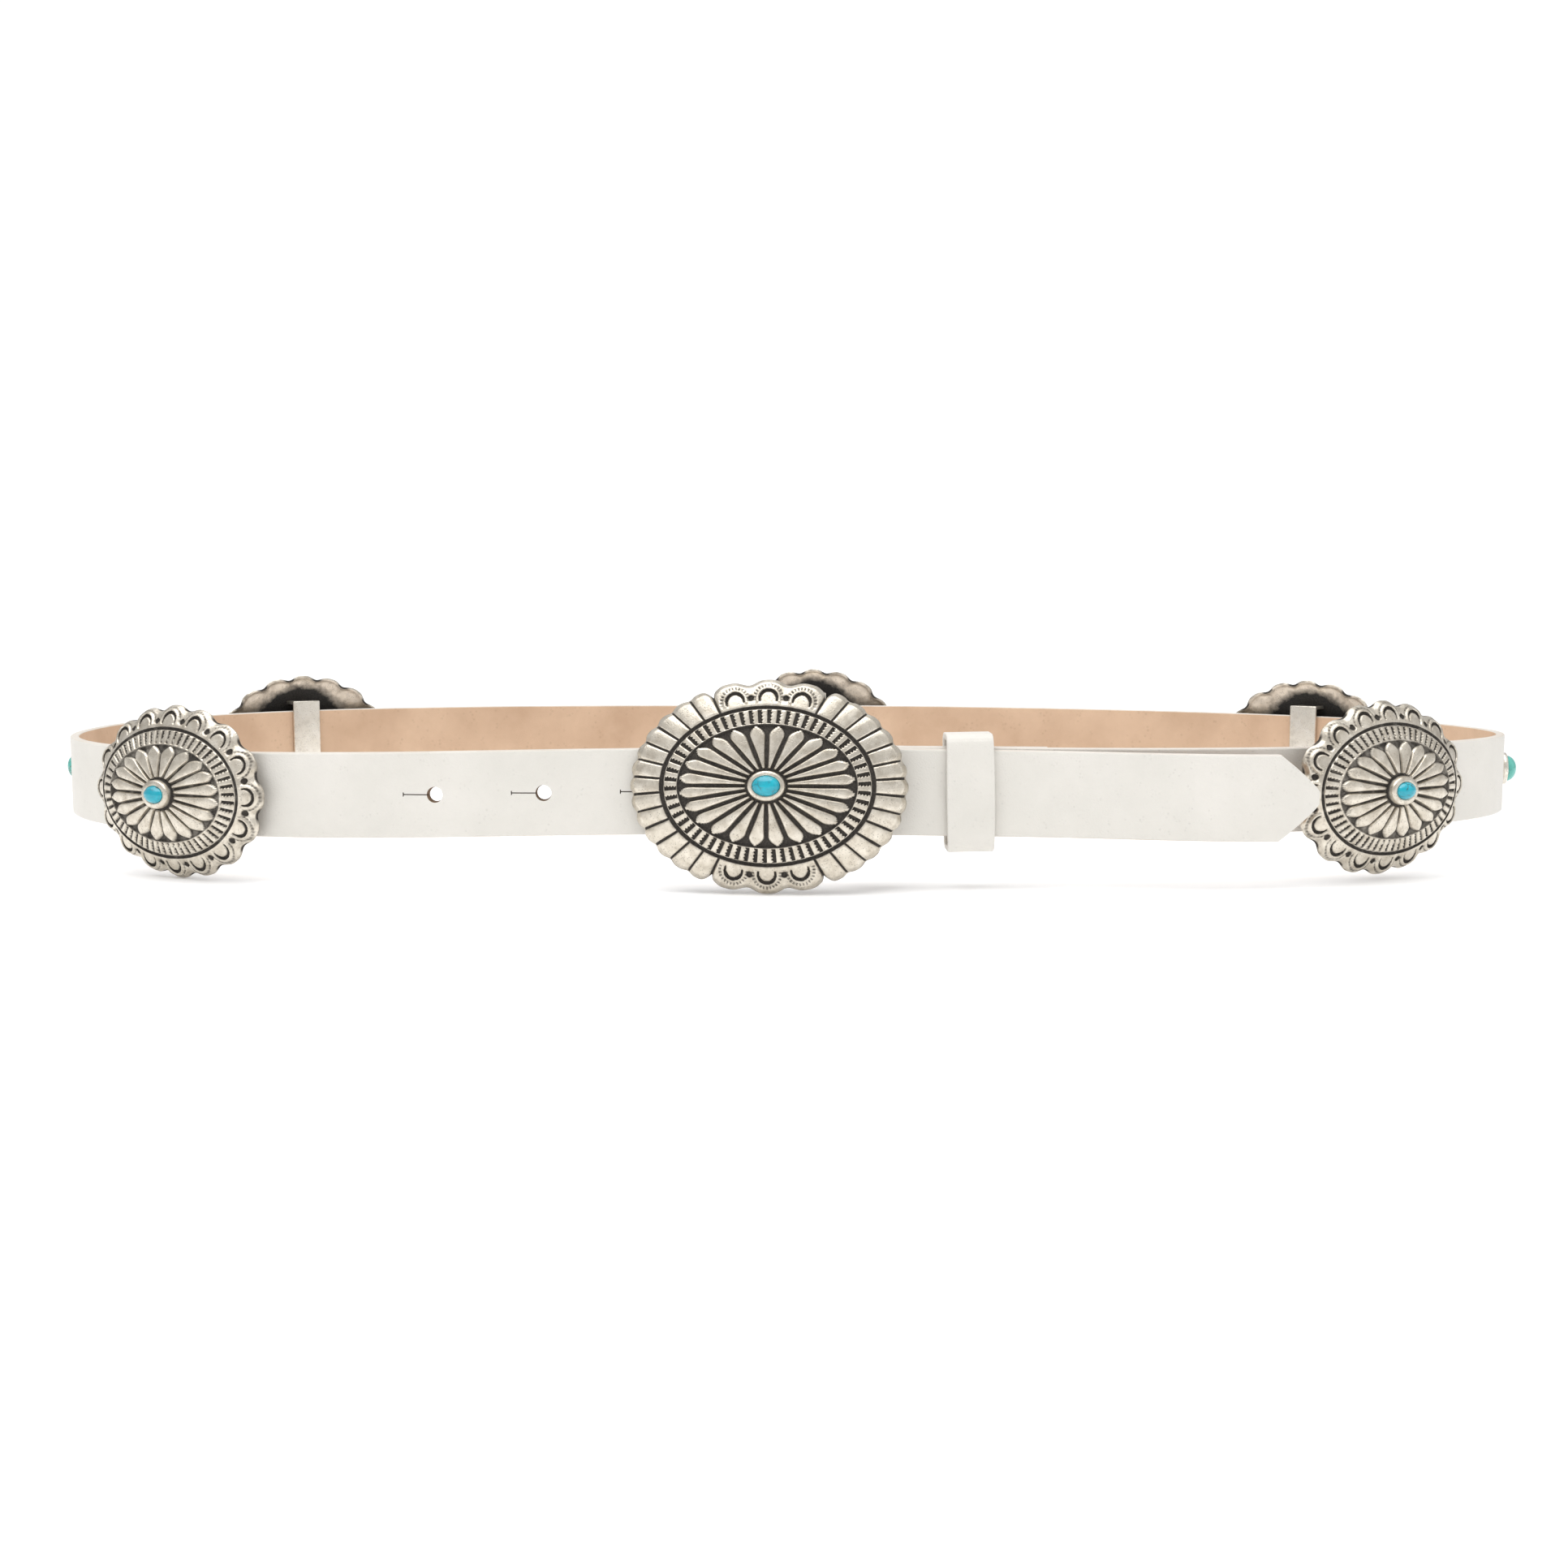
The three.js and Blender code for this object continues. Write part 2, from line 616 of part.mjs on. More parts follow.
// One cast plate with its setting: a domed shell with petals inside a ladder ring and a groove
function plateShell({ width, height, dome, petals, runs, rings, bezelHeight }) {
  const [halfWidth, halfHeight] = [width / 2, height / 2];
  const [edge, border] = [edgeOf(runs), borderOf(runs)];
  const smooth = (row) => frontHeight(dome, (row.reach + row.up) / 2);
  const plain = (row, angles, drop = 0) => ringOf(angles, row.reach * halfWidth,
    row.up * halfHeight, () => smooth(row) - drop);
  // Petals are centred between the plate's axes: odd points are crests, even ones valleys
  const petalAngles = evenAngles(2 * petals);
  const rib = (row, relief) => ringOf(petalAngles, row.reach * halfWidth, row.up * halfHeight,
    (k) => smooth(row) + (k % 2 ? relief : -relief) / 2);
  const raised = (row) => ringOf(border.map(({ angle }) => angle), row.reach * halfWidth,
    row.up * halfHeight, (k) => smooth(row) + (border[k].crest ? row.lift : 0));
  const few = evenAngles(16);
  const seatHeight = frontHeight(dome, 0.2) + bezelHeight;
  const seat = (grow) => ringOf(few, stoneWidth / 2 + fitGap + grow,
    stoneHeight / 2 + fitGap + grow, () => seatHeight);
  const lowered = (ring, drop) => ring.map(({ angle, point }) => ({
    angle, point: [point[0], point[1], point[2] - drop],
  }));
  const edgeAngles = edge.map(({ angle }) => angle);
  const edgeRing = (rise) => ringOf(edgeAngles, halfWidth, halfHeight, () => rise,
    (k) => 1 - edge[k].pulled);
  const hollow = ({ share, points }) => ringOf(evenAngles(points), share * halfWidth,
    share * halfHeight, () => hollowHeight(dome, share));
  const skin = skinOfRings([
    lowered(seat(0), bezelDepth),
    seat(0),
    seat(bezelWall),
    lowered(seat(bezelWall), bezelHeight + petalRelief / 2),
    ringOf(evenAngles(petals), rings.petalRoot.reach * halfWidth,
      rings.petalRoot.up * halfHeight, () => smooth(rings.petalRoot)),
    rib(rings.petalBelly, petalRelief),
    rib(rings.petalTip, petalRelief),
    plain(rings.field, petalAngles, petalRelief / 2),
    plain(rings.ladderInner, petalAngles),
    plain(rings.ladderOuter, petalAngles),
    plain(rings.groove, evenAngles(grooveSides), grooveDepth),
    plain(rings.grooveOuter, evenAngles(grooveSides)),
    raised(rings.border),
    edgeRing(rimThickness),
    edgeRing(0),
    ...hollowRings.map(hollow),
  ], seatHeight - bezelDepth, frontHeight(dome, 0) - plateWall);
  return { skin, seatFloor: seatHeight - bezelDepth };
}

// A cabochon whose flat base rests just above its seat's floor
function cabochon(name, width, height, rise, girdle, sides, material) {
  const profile = [[0, 0], [1, 0], [1, girdle], [0.8, girdle + rise * 0.6], [0, girdle + rise]];
  const points = profile.map(([r, h]) => new THREE.Vector2(r * width / 2, h));
  const geometry = new THREE.LatheGeometry(points, sides);
  geometry.rotateX(Math.PI / 2);
  geometry.scale(1, height / width, 1);
  return named(name, geometry, material);
}

function named(name, geometry, material) {
  const mesh = new THREE.Mesh(geometry, material);
  mesh.name = name;
  return mesh;
}

// The frame of a plate beside the loop: x along the belt, y up, z outwards, then its own turns
function frameAt(point, forward, height, turn = 0, lean = 0) {
  const along = new THREE.Vector3(forward.x, forward.y, 0);
  const up = new THREE.Vector3(0, 0, 1);
  const out = new THREE.Vector3().crossVectors(along, up);
  const frame = new THREE.Matrix4().makeBasis(along, up, out);
  frame.multiply(new THREE.Matrix4().makeRotationY(turn));
  frame.multiply(new THREE.Matrix4().makeRotationX(lean));
  return frame.setPosition(point.x, point.y, height);
}

function groupAt(frame) {
  const group = new THREE.Group();
  frame.decompose(group.position, group.quaternion, group.scale);
  return group;
}

function makeConcho(place) {
  const { name } = place;
  const station = stationOf(place);
  const turn = THREE.MathUtils.degToRad(place.turnDegrees);
  const offset = rimOffset(place);
  const { skin, seatFloor } = plateShell({
    width: conchoWidth, height: conchoHeight, dome: conchoDome, petals: conchoPetals,
    runs: conchoRuns, rings: conchoRings, bezelHeight: conchoBezelHeight,
  });
  const { point, forward } = besideLoop(station, offset);
  // The flat bar behind the leather, and its two legs up to the plate's hollow
  const half = loopBarWidth / 2;
  const out = new THREE.Vector2(forward.y, -forward.x).rotateAround(new THREE.Vector2(), turn);
  const leatherBack = [-half, 0, half].map((reach) =>
    besideLoop(station + reach, -leatherThickness / 2).point.sub(point).dot(out));
  const barTop = Math.min(...leatherBack) - fitGap;
  const inside = strapWidth / 2 + loopBarHeadroom;
  const outside = inside + loopBarThickness;
  const legShare = inside / conchoMiddle;
  const legTop = frontHeight(conchoDome, legShare) - plateWall / 2;
  const barBase = barTop - loopBarThickness;
  const shell = join(skin,
    block([-half, -outside, barBase], [half, outside, barTop]),
    block([-half, inside, barBase], [half, outside, legTop]),
    block([-half, -outside, barBase], [half, -inside, legTop]));
  const geometry = geometryOf(shell);
  geometry.computeBoundingBox();
  const height = place.lift - geometry.boundingBox.min.y;
  const group = groupAt(frameAt(point, forward, height, turn));
  const stone = cabochon(`stone_${name}`, stoneWidth, stoneHeight, stoneDome,
    bezelDepth - fitGap, 14, materials.turquoise);
  stone.position.z = seatFloor + fitGap;
  group.add(named(`concho_${name}`, geometry, materials.castSilver), stone);
  return group;
}

function makeBuckle() {
  const { skin, seatFloor } = plateShell({
    width: buckleWidth, height: buckleHeight, dome: buckleDome, petals: bucklePetals,
    runs: buckleRuns, rings: buckleRings, bezelHeight: buckleBezelHeight,
  });
  skin.computeBoundingBox();
  const halfWidth = buckleWidth / 2;
  const leftOffset = outerOffsetAt(-halfWidth) + leatherThickness / 2 + fitGap
    + strapWidth / 2 * Math.sin(buckleLean);
  const middleOffset = leftOffset + halfWidth * Math.sin(buckleSwing);
  const height = -skin.boundingBox.min.y * Math.cos(buckleLean);
  const { point, forward } = besideLoop(0, middleOffset);
  const frame = frameAt(point, forward, height, -buckleSwing, -buckleLean);
  const toPlate = frame.clone().invert();

  // Where a post that starts on the plate's back at x, y ends up beside the loop
  const onPlate = (x, y) => {
    const share = Math.hypot(x / halfWidth, y / (buckleHeight / 2));
    return new THREE.Vector3(x, y, frontHeight(buckleDome, share) - plateWall / 2)
      .applyMatrix4(frame);
  };
  const beside = (station, offset, z) => {
    const at = besideLoop(station, offset).point;
    return new THREE.Vector3(at.x, at.y, z);
  };

  // The bail: an upright bar in the fold, with a leg from each end to the plate
  const barMiddle = strapMiddle(bailStation);
  const legHeight = strapWidth / 2 + bailSideClearance + bailWire / 2;
  const barEnds = [1, -1].map((side) =>
    beside(bailStation, -turnRadius, barMiddle + side * legHeight));
  const legs = barEnds.map((end) => {
    const seat = end.clone().applyMatrix4(toPlate);
    return rod(end, onPlate(seat.x, seat.y), bailWire, 8);
  });
  const cap = bailWire * 0.4;
  const bar = rod(barEnds[0].clone().add(new THREE.Vector3(0, 0, cap)),
    barEnds[1].clone().sub(new THREE.Vector3(0, 0, cap)), bailWire, 8);

  // The stud through the buckled hole
  const studMiddle = outerMiddle(studStation);
  const inner = outerOffsetAt(studStation) - leatherThickness / 2 - fitGap;
  const neck = beside(studStation, inner - studHeadHeight / 2, studMiddle);
  const studSeat = neck.clone().applyMatrix4(toPlate);
  const studTop = onPlate(studSeat.x, studSeat.y);
  studTop.x = neck.x;
  studTop.z = neck.z;
  const stud = rod(neck, studTop, studDiameter, 10);
  const head = rod(beside(studStation, inner, studMiddle),
    beside(studStation, inner - studHeadHeight, studMiddle), studHeadDiameter, 10);

  const soldered = [...legs, bar, stud, head].map((piece) => piece.applyMatrix4(toPlate));
  const group = groupAt(frame);
  const stone = cabochon('buckle_stone', stoneWidth, stoneHeight, stoneDome,
    bezelDepth - fitGap, 14, materials.turquoise);
  stone.position.z = seatFloor + fitGap;
  const plate = geometryOf(join(skin, ...soldered));
  group.add(named('buckle_plate', plate, materials.castSilver), stone);
  return group;
}

function makeSpot(place) {
  const { name } = place;
  const station = stationOf(place);
  const seat = spotStoneDiameter / 2 + fitGap;
  const cup = seat + spotCupWall;
  const shank = spotShank / 2;
  const profile = [
    [0, -spotShankLength], [shank, -spotShankLength], [shank, 0], [cup, 0],
    [cup, spotCupHeight], [seat, spotCupHeight], [seat, spotCupFloor], [0, spotCupFloor],
  ];
  const geometry = new THREE.LatheGeometry(profile.map(([r, h]) => new THREE.Vector2(r, h)), 12);
  geometry.rotateX(Math.PI / 2);
  const { point, forward } = besideLoop(station, leatherThickness / 2 + fitGap);
  const group = groupAt(frameAt(point, forward, strapMiddle(station)));
  const girdle = spotCupHeight - spotCupFloor - fitGap;
  const stone = cabochon(`spot_stone_${name}`, spotStoneDiameter, spotStoneDiameter,
    spotStoneDome, girdle, 12, materials.greenTurquoise);
  stone.position.z = spotCupFloor + fitGap;
  group.add(named(`spot_cup_${name}`, geometry, materials.castSilver), stone);
  return group;
}

const belt = new THREE.Group();
belt.add(makeStrap(), makeKeeper(), makeFoldRivet(), makeBuckle());
belt.add(...conchoPlaces.map(makeConcho), ...spotPlaces.map(makeSpot));

// The origin is on the floor, under the middle of the whole belt
const extent = new THREE.Box3().setFromObject(belt, true);
const middleOfAll = extent.getCenter(new THREE.Vector3());
belt.position.set(-middleOfAll.x, -middleOfAll.y, -extent.min.z);

export default belt;
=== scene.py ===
"""The looks of a fastened concho belt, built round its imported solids.

Sizes are in millimetres until a mesh is made; every mesh is in metres, in the part's own frame.
A station is a distance along the leather from the buckle, growing towards +X. An offset is a
distance outwards from the middle of the leather's main layer. A plate has a frame of its own:
x along the belt, y up, z outwards, with the back of its rim at z 0.
"""
import math

import bmesh
import bpy
import numpy as np
from mathutils import Matrix, Vector


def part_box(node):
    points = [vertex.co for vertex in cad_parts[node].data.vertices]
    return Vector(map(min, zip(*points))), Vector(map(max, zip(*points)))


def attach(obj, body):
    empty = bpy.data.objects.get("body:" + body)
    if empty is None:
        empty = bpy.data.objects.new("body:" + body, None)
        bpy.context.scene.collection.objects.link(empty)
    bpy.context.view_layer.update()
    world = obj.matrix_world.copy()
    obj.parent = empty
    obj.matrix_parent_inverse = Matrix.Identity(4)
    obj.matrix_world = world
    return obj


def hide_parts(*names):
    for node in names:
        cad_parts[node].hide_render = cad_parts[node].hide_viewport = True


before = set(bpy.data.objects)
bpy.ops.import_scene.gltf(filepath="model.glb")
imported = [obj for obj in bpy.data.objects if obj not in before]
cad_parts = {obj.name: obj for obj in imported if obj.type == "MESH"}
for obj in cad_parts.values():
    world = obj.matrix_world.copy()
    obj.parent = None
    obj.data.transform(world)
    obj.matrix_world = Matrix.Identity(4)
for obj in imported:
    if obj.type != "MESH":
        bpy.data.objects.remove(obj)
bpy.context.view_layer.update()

MM = 0.001
TURN = 2 * math.pi

# Clearance between pieces that touch
FIT_GAP = 0.3

# The loop seen from above, in so many steps to a quarter, and how far to either side of a
# station its direction is taken
LOOP_HALF_WIDTH = 189
LOOP_FRONT_DEPTH = 80
LOOP_BACK_DEPTH = 107
LOOP_FRONT_STRAIGHT = 60
LOOP_ROUNDNESS = 2.2
BUCKLE_FROM_LOOP_MIDDLE = 5
LOOP_STEPS = 96
DIRECTION_REACH = 1.5

# The leather
LEATHER_THICKNESS = 2.2
LEATHER_EDGE_RADIUS = 0.45
STRAP_WIDTH = 19.8
STRAP_MIDDLE_AT_BUCKLE = 22.6
STRAP_STEP = 2.0
TIP_STATION = 122.7
TIP_LENGTH = 8.9
TIP_BLUNT_HEIGHT = 3
TIP_DROOP = 0.8
FOLD_END_STATION = 64
FOLD_TAPER = 14
OVERLAP_START = -75
HOLE_DIAMETER = 3.5
HOLE_PITCH = 25
HOLES_BEFORE_STUD = 2
HOLES_AFTER_STUD = 2
STUD_STATION = -26.5
SLIT_LENGTH = 5.6
SLIT_WIDTH = 0.24

# Fittings
BAIL_STATION = 20
BAIL_WIRE = 2.4
BAIL_SIDE_CLEARANCE = 1.6
RIVET_STATION = 57.5
RIVET_SHANK = 3
RIVET_HEAD_DIAMETER = 6
RIVET_HEAD_HEIGHT = 0.4
STUD_DIAMETER = 2.7
STUD_HEAD_DIAMETER = 4.4
STUD_HEAD_HEIGHT = 1.3
KEEPER_STATION = 45.75
KEEPER_WIDTH = 10.6
KEEPER_WALL = 1.5
KEEPER_HEADROOM = 2.1
KEEPER_SLANT = math.radians(1.1)

# The cast plates
FIRST_CONCHO_STATION = 142.8
CONCHO_WIDTH = 53.5
CONCHO_HEIGHT = 41.2
CONCHO_DOME = 5.5
CONCHO_LOBES = 16
LOBE_SPREAD = 0.066
BUCKLE_WIDTH = 63
BUCKLE_HEIGHT = 48.3
BUCKLE_DOME = 5.2
BUCKLE_RAY_SECTOR = math.radians(128)
BUCKLE_RAYS = 13
BUCKLE_LUNETTES = 3
BUCKLE_LEAN = math.radians(7)
BUCKLE_SWING = math.radians(4.7)
DOME_FULLNESS = 2.6
PLATE_WALL = 1.6
RIM_THICKNESS = 1.4
LOOP_BAR_WIDTH = 8.4
LOOP_BAR_THICKNESS = 1
LOOP_BAR_HEADROOM = 2
SOLDER_STEP = 0.03

# Stones and their cups
STONE_WIDTH = 6.3
STONE_HEIGHT = 4.6
STONE_DOME = 2
BEZEL_WALL = 0.85
BEZEL_DEPTH = 0.9
CONCHO_BEZEL_HEIGHT = 1.4
BUCKLE_BEZEL_HEIGHT = 1
SPOT_STONE_DIAMETER = 6.9
SPOT_STONE_DOME = 2.7
SPOT_CUP_WALL = 0.45
SPOT_CUP_HEIGHT = 1.4
SPOT_CUP_FLOOR = 0.5
SPOT_SHANK = 2.6
SPOT_SHANK_LENGTH = 1.5

# Half pitches from the middle of the back, then each plate's slide along the leather, its turn
# about the upright in degrees, its lift off the floor and the leather's ride in it
CONCHO_PLACES = {
    "front_right": (-4, 2.2, 5.5, 1.2, 0.1),
    "back_right": (-2, 0, 0, 0, -0.1),
    "back": (0, -4, 0, 1.8, -1.2),
    "back_left": (2, -2.4, 0, 1.2, 0),
    "front_left": (4, 0.8, -2.5, 0, 0),
}
# Half pitches and slide
SPOT_PLACES = {
    "side_right": (-3, -3), "back_right": (-1, 0), "back_left": (1, 0), "side_left": (3, 4),
}


# The loop's course

def smooth(low, high, value):
    share = np.clip((np.asarray(value) - low) / (high - low), 0, 1)
    return share * share * (3 - 2 * share)


def loop_outline():
    share = np.arange(LOOP_STEPS) / LOOP_STEPS
    power = 2 / LOOP_ROUNDNESS

    def quarter(side, straight, depth, backwards, rise):
        angle = (1 - share if backwards else share) * math.pi / 2
        across = straight + (LOOP_HALF_WIDTH - straight) * np.sin(angle) ** power
        up = LOOP_FRONT_DEPTH + rise * depth * np.cos(angle) ** power
        return np.stack([side * across + BUCKLE_FROM_LOOP_MIDDLE, up], 1)

    return np.concatenate([
        quarter(1, LOOP_FRONT_STRAIGHT, LOOP_FRONT_DEPTH, False, -1),
        quarter(1, 0, LOOP_BACK_DEPTH, True, 1),
        quarter(-1, 0, LOOP_BACK_DEPTH, False, 1),
        quarter(-1, LOOP_FRONT_STRAIGHT, LOOP_FRONT_DEPTH, True, -1),
    ])


OUTLINE = loop_outline()
OUTLINE = np.concatenate([OUTLINE, OUTLINE[:1]])
LENGTHS = np.concatenate([[0], np.cumsum(np.linalg.norm(np.diff(OUTLINE, axis=0), axis=1))])
LOOP_LENGTH = LENGTHS[-1]
OUTLINE_START = BUCKLE_FROM_LOOP_MIDDLE + LOOP_FRONT_STRAIGHT


def on_loop(station):
    along = np.mod(np.asarray(station, float) - OUTLINE_START, LOOP_LENGTH)
    return np.stack([np.interp(along, LENGTHS, OUTLINE[:, axis]) for axis in (0, 1)], -1)


def beside_loop(station, offset=0.0):
    """Points beside the loop, the loop's direction there and the outward direction."""
    station = np.asarray(station, float)
    forward = on_loop(station + DIRECTION_REACH) - on_loop(station - DIRECTION_REACH)
    forward /= np.linalg.norm(forward, axis=-1, keepdims=True)
    outward = np.stack([forward[..., 1], -forward[..., 0]], -1)
    return on_loop(station) + outward * np.asarray(offset)[..., None], forward, outward


def front_height(dome, share):
    return RIM_THICKNESS + dome * (1 - share ** DOME_FULLNESS)


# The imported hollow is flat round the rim, then straight between these shares of the radius
HOLLOW_SHARES = (0.35, 0.7, 0.9)


def hollow_height(dome, share):
    heights = [front_height(dome, at) - PLATE_WALL for at in HOLLOW_SHARES]
    return np.where(share < HOLLOW_SHARES[-1], np.interp(share, HOLLOW_SHARES, heights), 0)


CONCHO_MIDDLE = CONCHO_HEIGHT / 2
CONCHO_PITCH = (LOOP_LENGTH - 2 * FIRST_CONCHO_STATION) / 4


def station_of(half_pitches, slide=0):
    return LOOP_LENGTH / 2 + half_pitches * CONCHO_PITCH / 2 + slide


# Stations of the buckle and the plates, with the height at which each carries the leather
SUPPORTS = [(0, STRAP_MIDDLE_AT_BUCKLE)]
SUPPORTS += [(station_of(half, slide), CONCHO_MIDDLE + lift + ride)
             for half, slide, turn, lift, ride in CONCHO_PLACES.values()]
SUPPORTS += [(LOOP_LENGTH, STRAP_MIDDLE_AT_BUCKLE)]


def strap_middle(station):
    along = np.mod(np.asarray(station, float), LOOP_LENGTH)
    at, middle = np.array(SUPPORTS).T
    after = np.clip(np.searchsorted(at, along), 1, len(at) - 1)
    eased = smooth(0, 1, (along - at[after - 1]) / (at[after] - at[after - 1]))
    return middle[after - 1] + (middle[after] - middle[after - 1]) * eased


def rotated(vector, angle):
    cos, sin = math.cos(angle), math.sin(angle)
    return np.array([vector[0] * cos - vector[1] * sin, vector[0] * sin + vector[1] * cos])


def rim_offset(half_pitches, slide, turn, lift, ride):
    """How far out a concho's rim lies so that the leather passes through its hollow."""
    station = station_of(half_pitches, slide)
    here, forward, outward = beside_loop(station)
    out = rotated(outward, math.radians(turn))
    reach = np.linspace(-CONCHO_WIDTH / 2, CONCHO_WIDTH / 2, math.ceil(CONCHO_WIDTH) + 1)
    leather = beside_loop(station + reach, np.full(reach.shape, LEATHER_THICKNESS / 2))[0] - here
    up = (STRAP_WIDTH / 2 + abs(ride)) / CONCHO_MIDDLE
    share = np.hypot(leather @ forward / (CONCHO_WIDTH / 2), up)
    return (leather @ out - hollow_height(CONCHO_DOME, share)).max() + FIT_GAP


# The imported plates' relief, which the tip clears
PETAL_RELIEF = 0.7
BORDER_LIFT = 0.5


def offset_over_concho():
    """The offset that carries the tip clear of the cast front beside it."""
    place = CONCHO_PLACES["front_right"]
    station = station_of(*place[:2])
    point, forward, outward = beside_loop(station, rim_offset(*place))
    turn = math.radians(place[2])
    along, out = rotated(forward, turn), rotated(outward, turn)
    count = math.ceil(abs(-CONCHO_WIDTH / 2 - (TIP_STATION - station)))
    reach = np.linspace(TIP_STATION - station, -CONCHO_WIDTH / 2, count + 1)
    height = front_height(CONCHO_DOME, -reach / (CONCHO_WIDTH / 2))
    height += max(PETAL_RELIEF / 2, BORDER_LIFT)
    cast = point + reach[:, None] * along + height[:, None] * out
    loop, _, away = beside_loop(station + reach)
    front = ((cast - loop) * away).sum(1).max()
    return front + FIT_GAP + LEATHER_THICKNESS / 2


# The leather's turn round the bail, then the offsets of its folded end, of its outer end and of
# its tip, and the station at which the outer end lies fully over the main layer
TURN_RADIUS = BAIL_WIRE / 2 + FIT_GAP + LEATHER_THICKNESS / 2
FOLD_OFFSET = -(LEATHER_THICKNESS + FIT_GAP)
OUTER_OFFSET = LEATHER_THICKNESS + RIVET_HEAD_HEIGHT + 2 * FIT_GAP
OVERLAP_FULL = BAIL_STATION - TURN_RADIUS - LEATHER_THICKNESS
TIP_OFFSET = offset_over_concho()


def fold_offset_at(station):
    opened = 1 - smooth(BAIL_STATION, BAIL_STATION + FOLD_TAPER, station)
    return FOLD_OFFSET + (-2 * TURN_RADIUS - FOLD_OFFSET) * opened


def outer_offset_at(station):
    lifted = smooth(OVERLAP_START, OVERLAP_FULL, station)
    standing = smooth(LOOP_FRONT_STRAIGHT, TIP_STATION, station)
    return OUTER_OFFSET * lifted + (TIP_OFFSET - OUTER_OFFSET) * standing


def outer_middle(station):
    return strap_middle(station) - TIP_DROOP * smooth(0, TIP_STATION, station)


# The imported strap's lowest x and highest y fix where the loop's own origin lies in the frame
strap_low, strap_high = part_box("strap")
HALF_LEATHER = LEATHER_THICKNESS / 2
LOOP_LEFT = BUCKLE_FROM_LOOP_MIDDLE - LOOP_HALF_WIDTH - HALF_LEATHER
LOOP_BACK = LOOP_FRONT_DEPTH + LOOP_BACK_DEPTH + HALF_LEATHER
ORIGIN = np.array([strap_low.x / MM - LOOP_LEFT, strap_high.y / MM - LOOP_BACK, 0])


# Node trees

class Tree:
    """A node tree with short calls that add a node, fill its sockets and link them."""

    def __init__(self, tree):
        self.tree = tree

    def add(self, kind, *values, **settings):
        node = self.tree.nodes.new(kind)
        named = settings.pop("sockets", {})
        for key, value in settings.items():
            setattr(node, key, value)
        for key, value in [*enumerate(values), *named.items()]:
            if value is not None:
                self.feed(node.inputs[key], value)
        return node

    def feed(self, socket, value):
        if isinstance(value, bpy.types.Node):
            value = value.outputs[0]
        if isinstance(value, bpy.types.NodeSocket):
            self.tree.links.new(value, socket)
        else:
            socket.default_value = value

    def math(self, operation, *values):
        return self.add("ShaderNodeMath", *values, operation=operation).outputs[0]

    def vector(self, x, y, z):
        return self.add("ShaderNodeCombineXYZ", x, y, z)

    def mix(self, share, low, high):
        """The colour between two, by its share of the second."""
        mix = self.add("ShaderNodeMix", data_type="RGBA")
        for socket, value in ((0, share), (6, low), (7, high)):
            self.feed(mix.inputs[socket], value)
        return mix.outputs[2]

    def remap(self, value, low, high, to_low=0.0, to_high=1.0):
        return self.add("ShaderNodeMapRange", value, low, high, to_low, to_high).outputs[0]


def new_group(name, kind, inputs, outputs):
    group = bpy.data.node_groups.new(name, kind)
    for label, socket, value in inputs:
        made = group.interface.new_socket(label, in_out="INPUT", socket_type=socket)
        if value is not None:
            made.default_value = value
    for label, socket in outputs:
        group.interface.new_socket(label, in_out="OUTPUT", socket_type=socket)
    tree = Tree(group)
    return tree, tree.add("NodeGroupInput"), tree.add("NodeGroupOutput")


FLOAT = "NodeSocketFloat"
COLOR = "NodeSocketColor"


def make_grain_group():
    """Fine bumps with pits: leather pores or the skin of a casting, by their sizes."""
    tree, given, made = new_group("fine grain", "ShaderNodeTree", [
        ("Pits Per Metre", FLOAT, 900.0), ("Bumps Per Metre", FLOAT, 2500.0),
        ("Pit Depth", FLOAT, 0.5), ("Pit Share", FLOAT, 0.5),
    ], [("Height", FLOAT), ("Pits", FLOAT)])
    get = given.outputs
    place = tree.add("ShaderNodeTexCoord").outputs["Object"]
    cells = tree.add("ShaderNodeTexVoronoi", sockets={
        "Vector": place, "Scale": get["Pits Per Metre"]})
    bumps = tree.add("ShaderNodeTexNoise", sockets={
        "Vector": place, "Scale": get["Bumps Per Metre"], "Detail": 4.0})
    # The pits gather in patches three pits wide
    patches = tree.add("ShaderNodeTexNoise", sockets={
        "Vector": place, "Scale": tree.math("MULTIPLY", get["Pits Per Metre"], 0.31)})
    pit = tree.remap(cells.outputs["Distance"], 0.05, 0.38, 1.0, 0.0)
    where = tree.remap(patches.outputs[0], tree.math("SUBTRACT", 1.0, get["Pit Share"]),
                       tree.math("SUBTRACT", 1.12, get["Pit Share"]))
    pits = tree.math("MULTIPLY", pit, where)
    sunk = tree.math("MULTIPLY", pits, get["Pit Depth"])
    tree.feed(made.inputs["Height"], tree.math("SUBTRACT", bumps.outputs[0], sunk))
    tree.feed(made.inputs["Pits"], pits)
    return tree.tree


def make_mottle_group():
    """Broad, soft changes of tone, from dark to light patches."""
    tree, given, made = new_group("soft mottle", "ShaderNodeTree", [
        ("Patches Per Metre", FLOAT, 60.0), ("Dark", COLOR, (0, 0, 0, 1)),
        ("Light", COLOR, (1, 1, 1, 1)),
    ], [("Color", COLOR), ("Mask", FLOAT)])
    get = given.outputs
    place = tree.add("ShaderNodeTexCoord").outputs["Object"]
    noise = tree.add("ShaderNodeTexNoise", sockets={
        "Vector": place, "Scale": get["Patches Per Metre"], "Detail": 5.0, "Roughness": 0.6})
    mask = tree.remap(noise.outputs[0], 0.32, 0.68)
    tree.feed(made.inputs["Color"], tree.mix(mask, get["Dark"], get["Light"]))
    tree.feed(made.inputs["Mask"], mask)
    return tree.tree


GRAIN = make_grain_group()
MOTTLE = make_mottle_group()


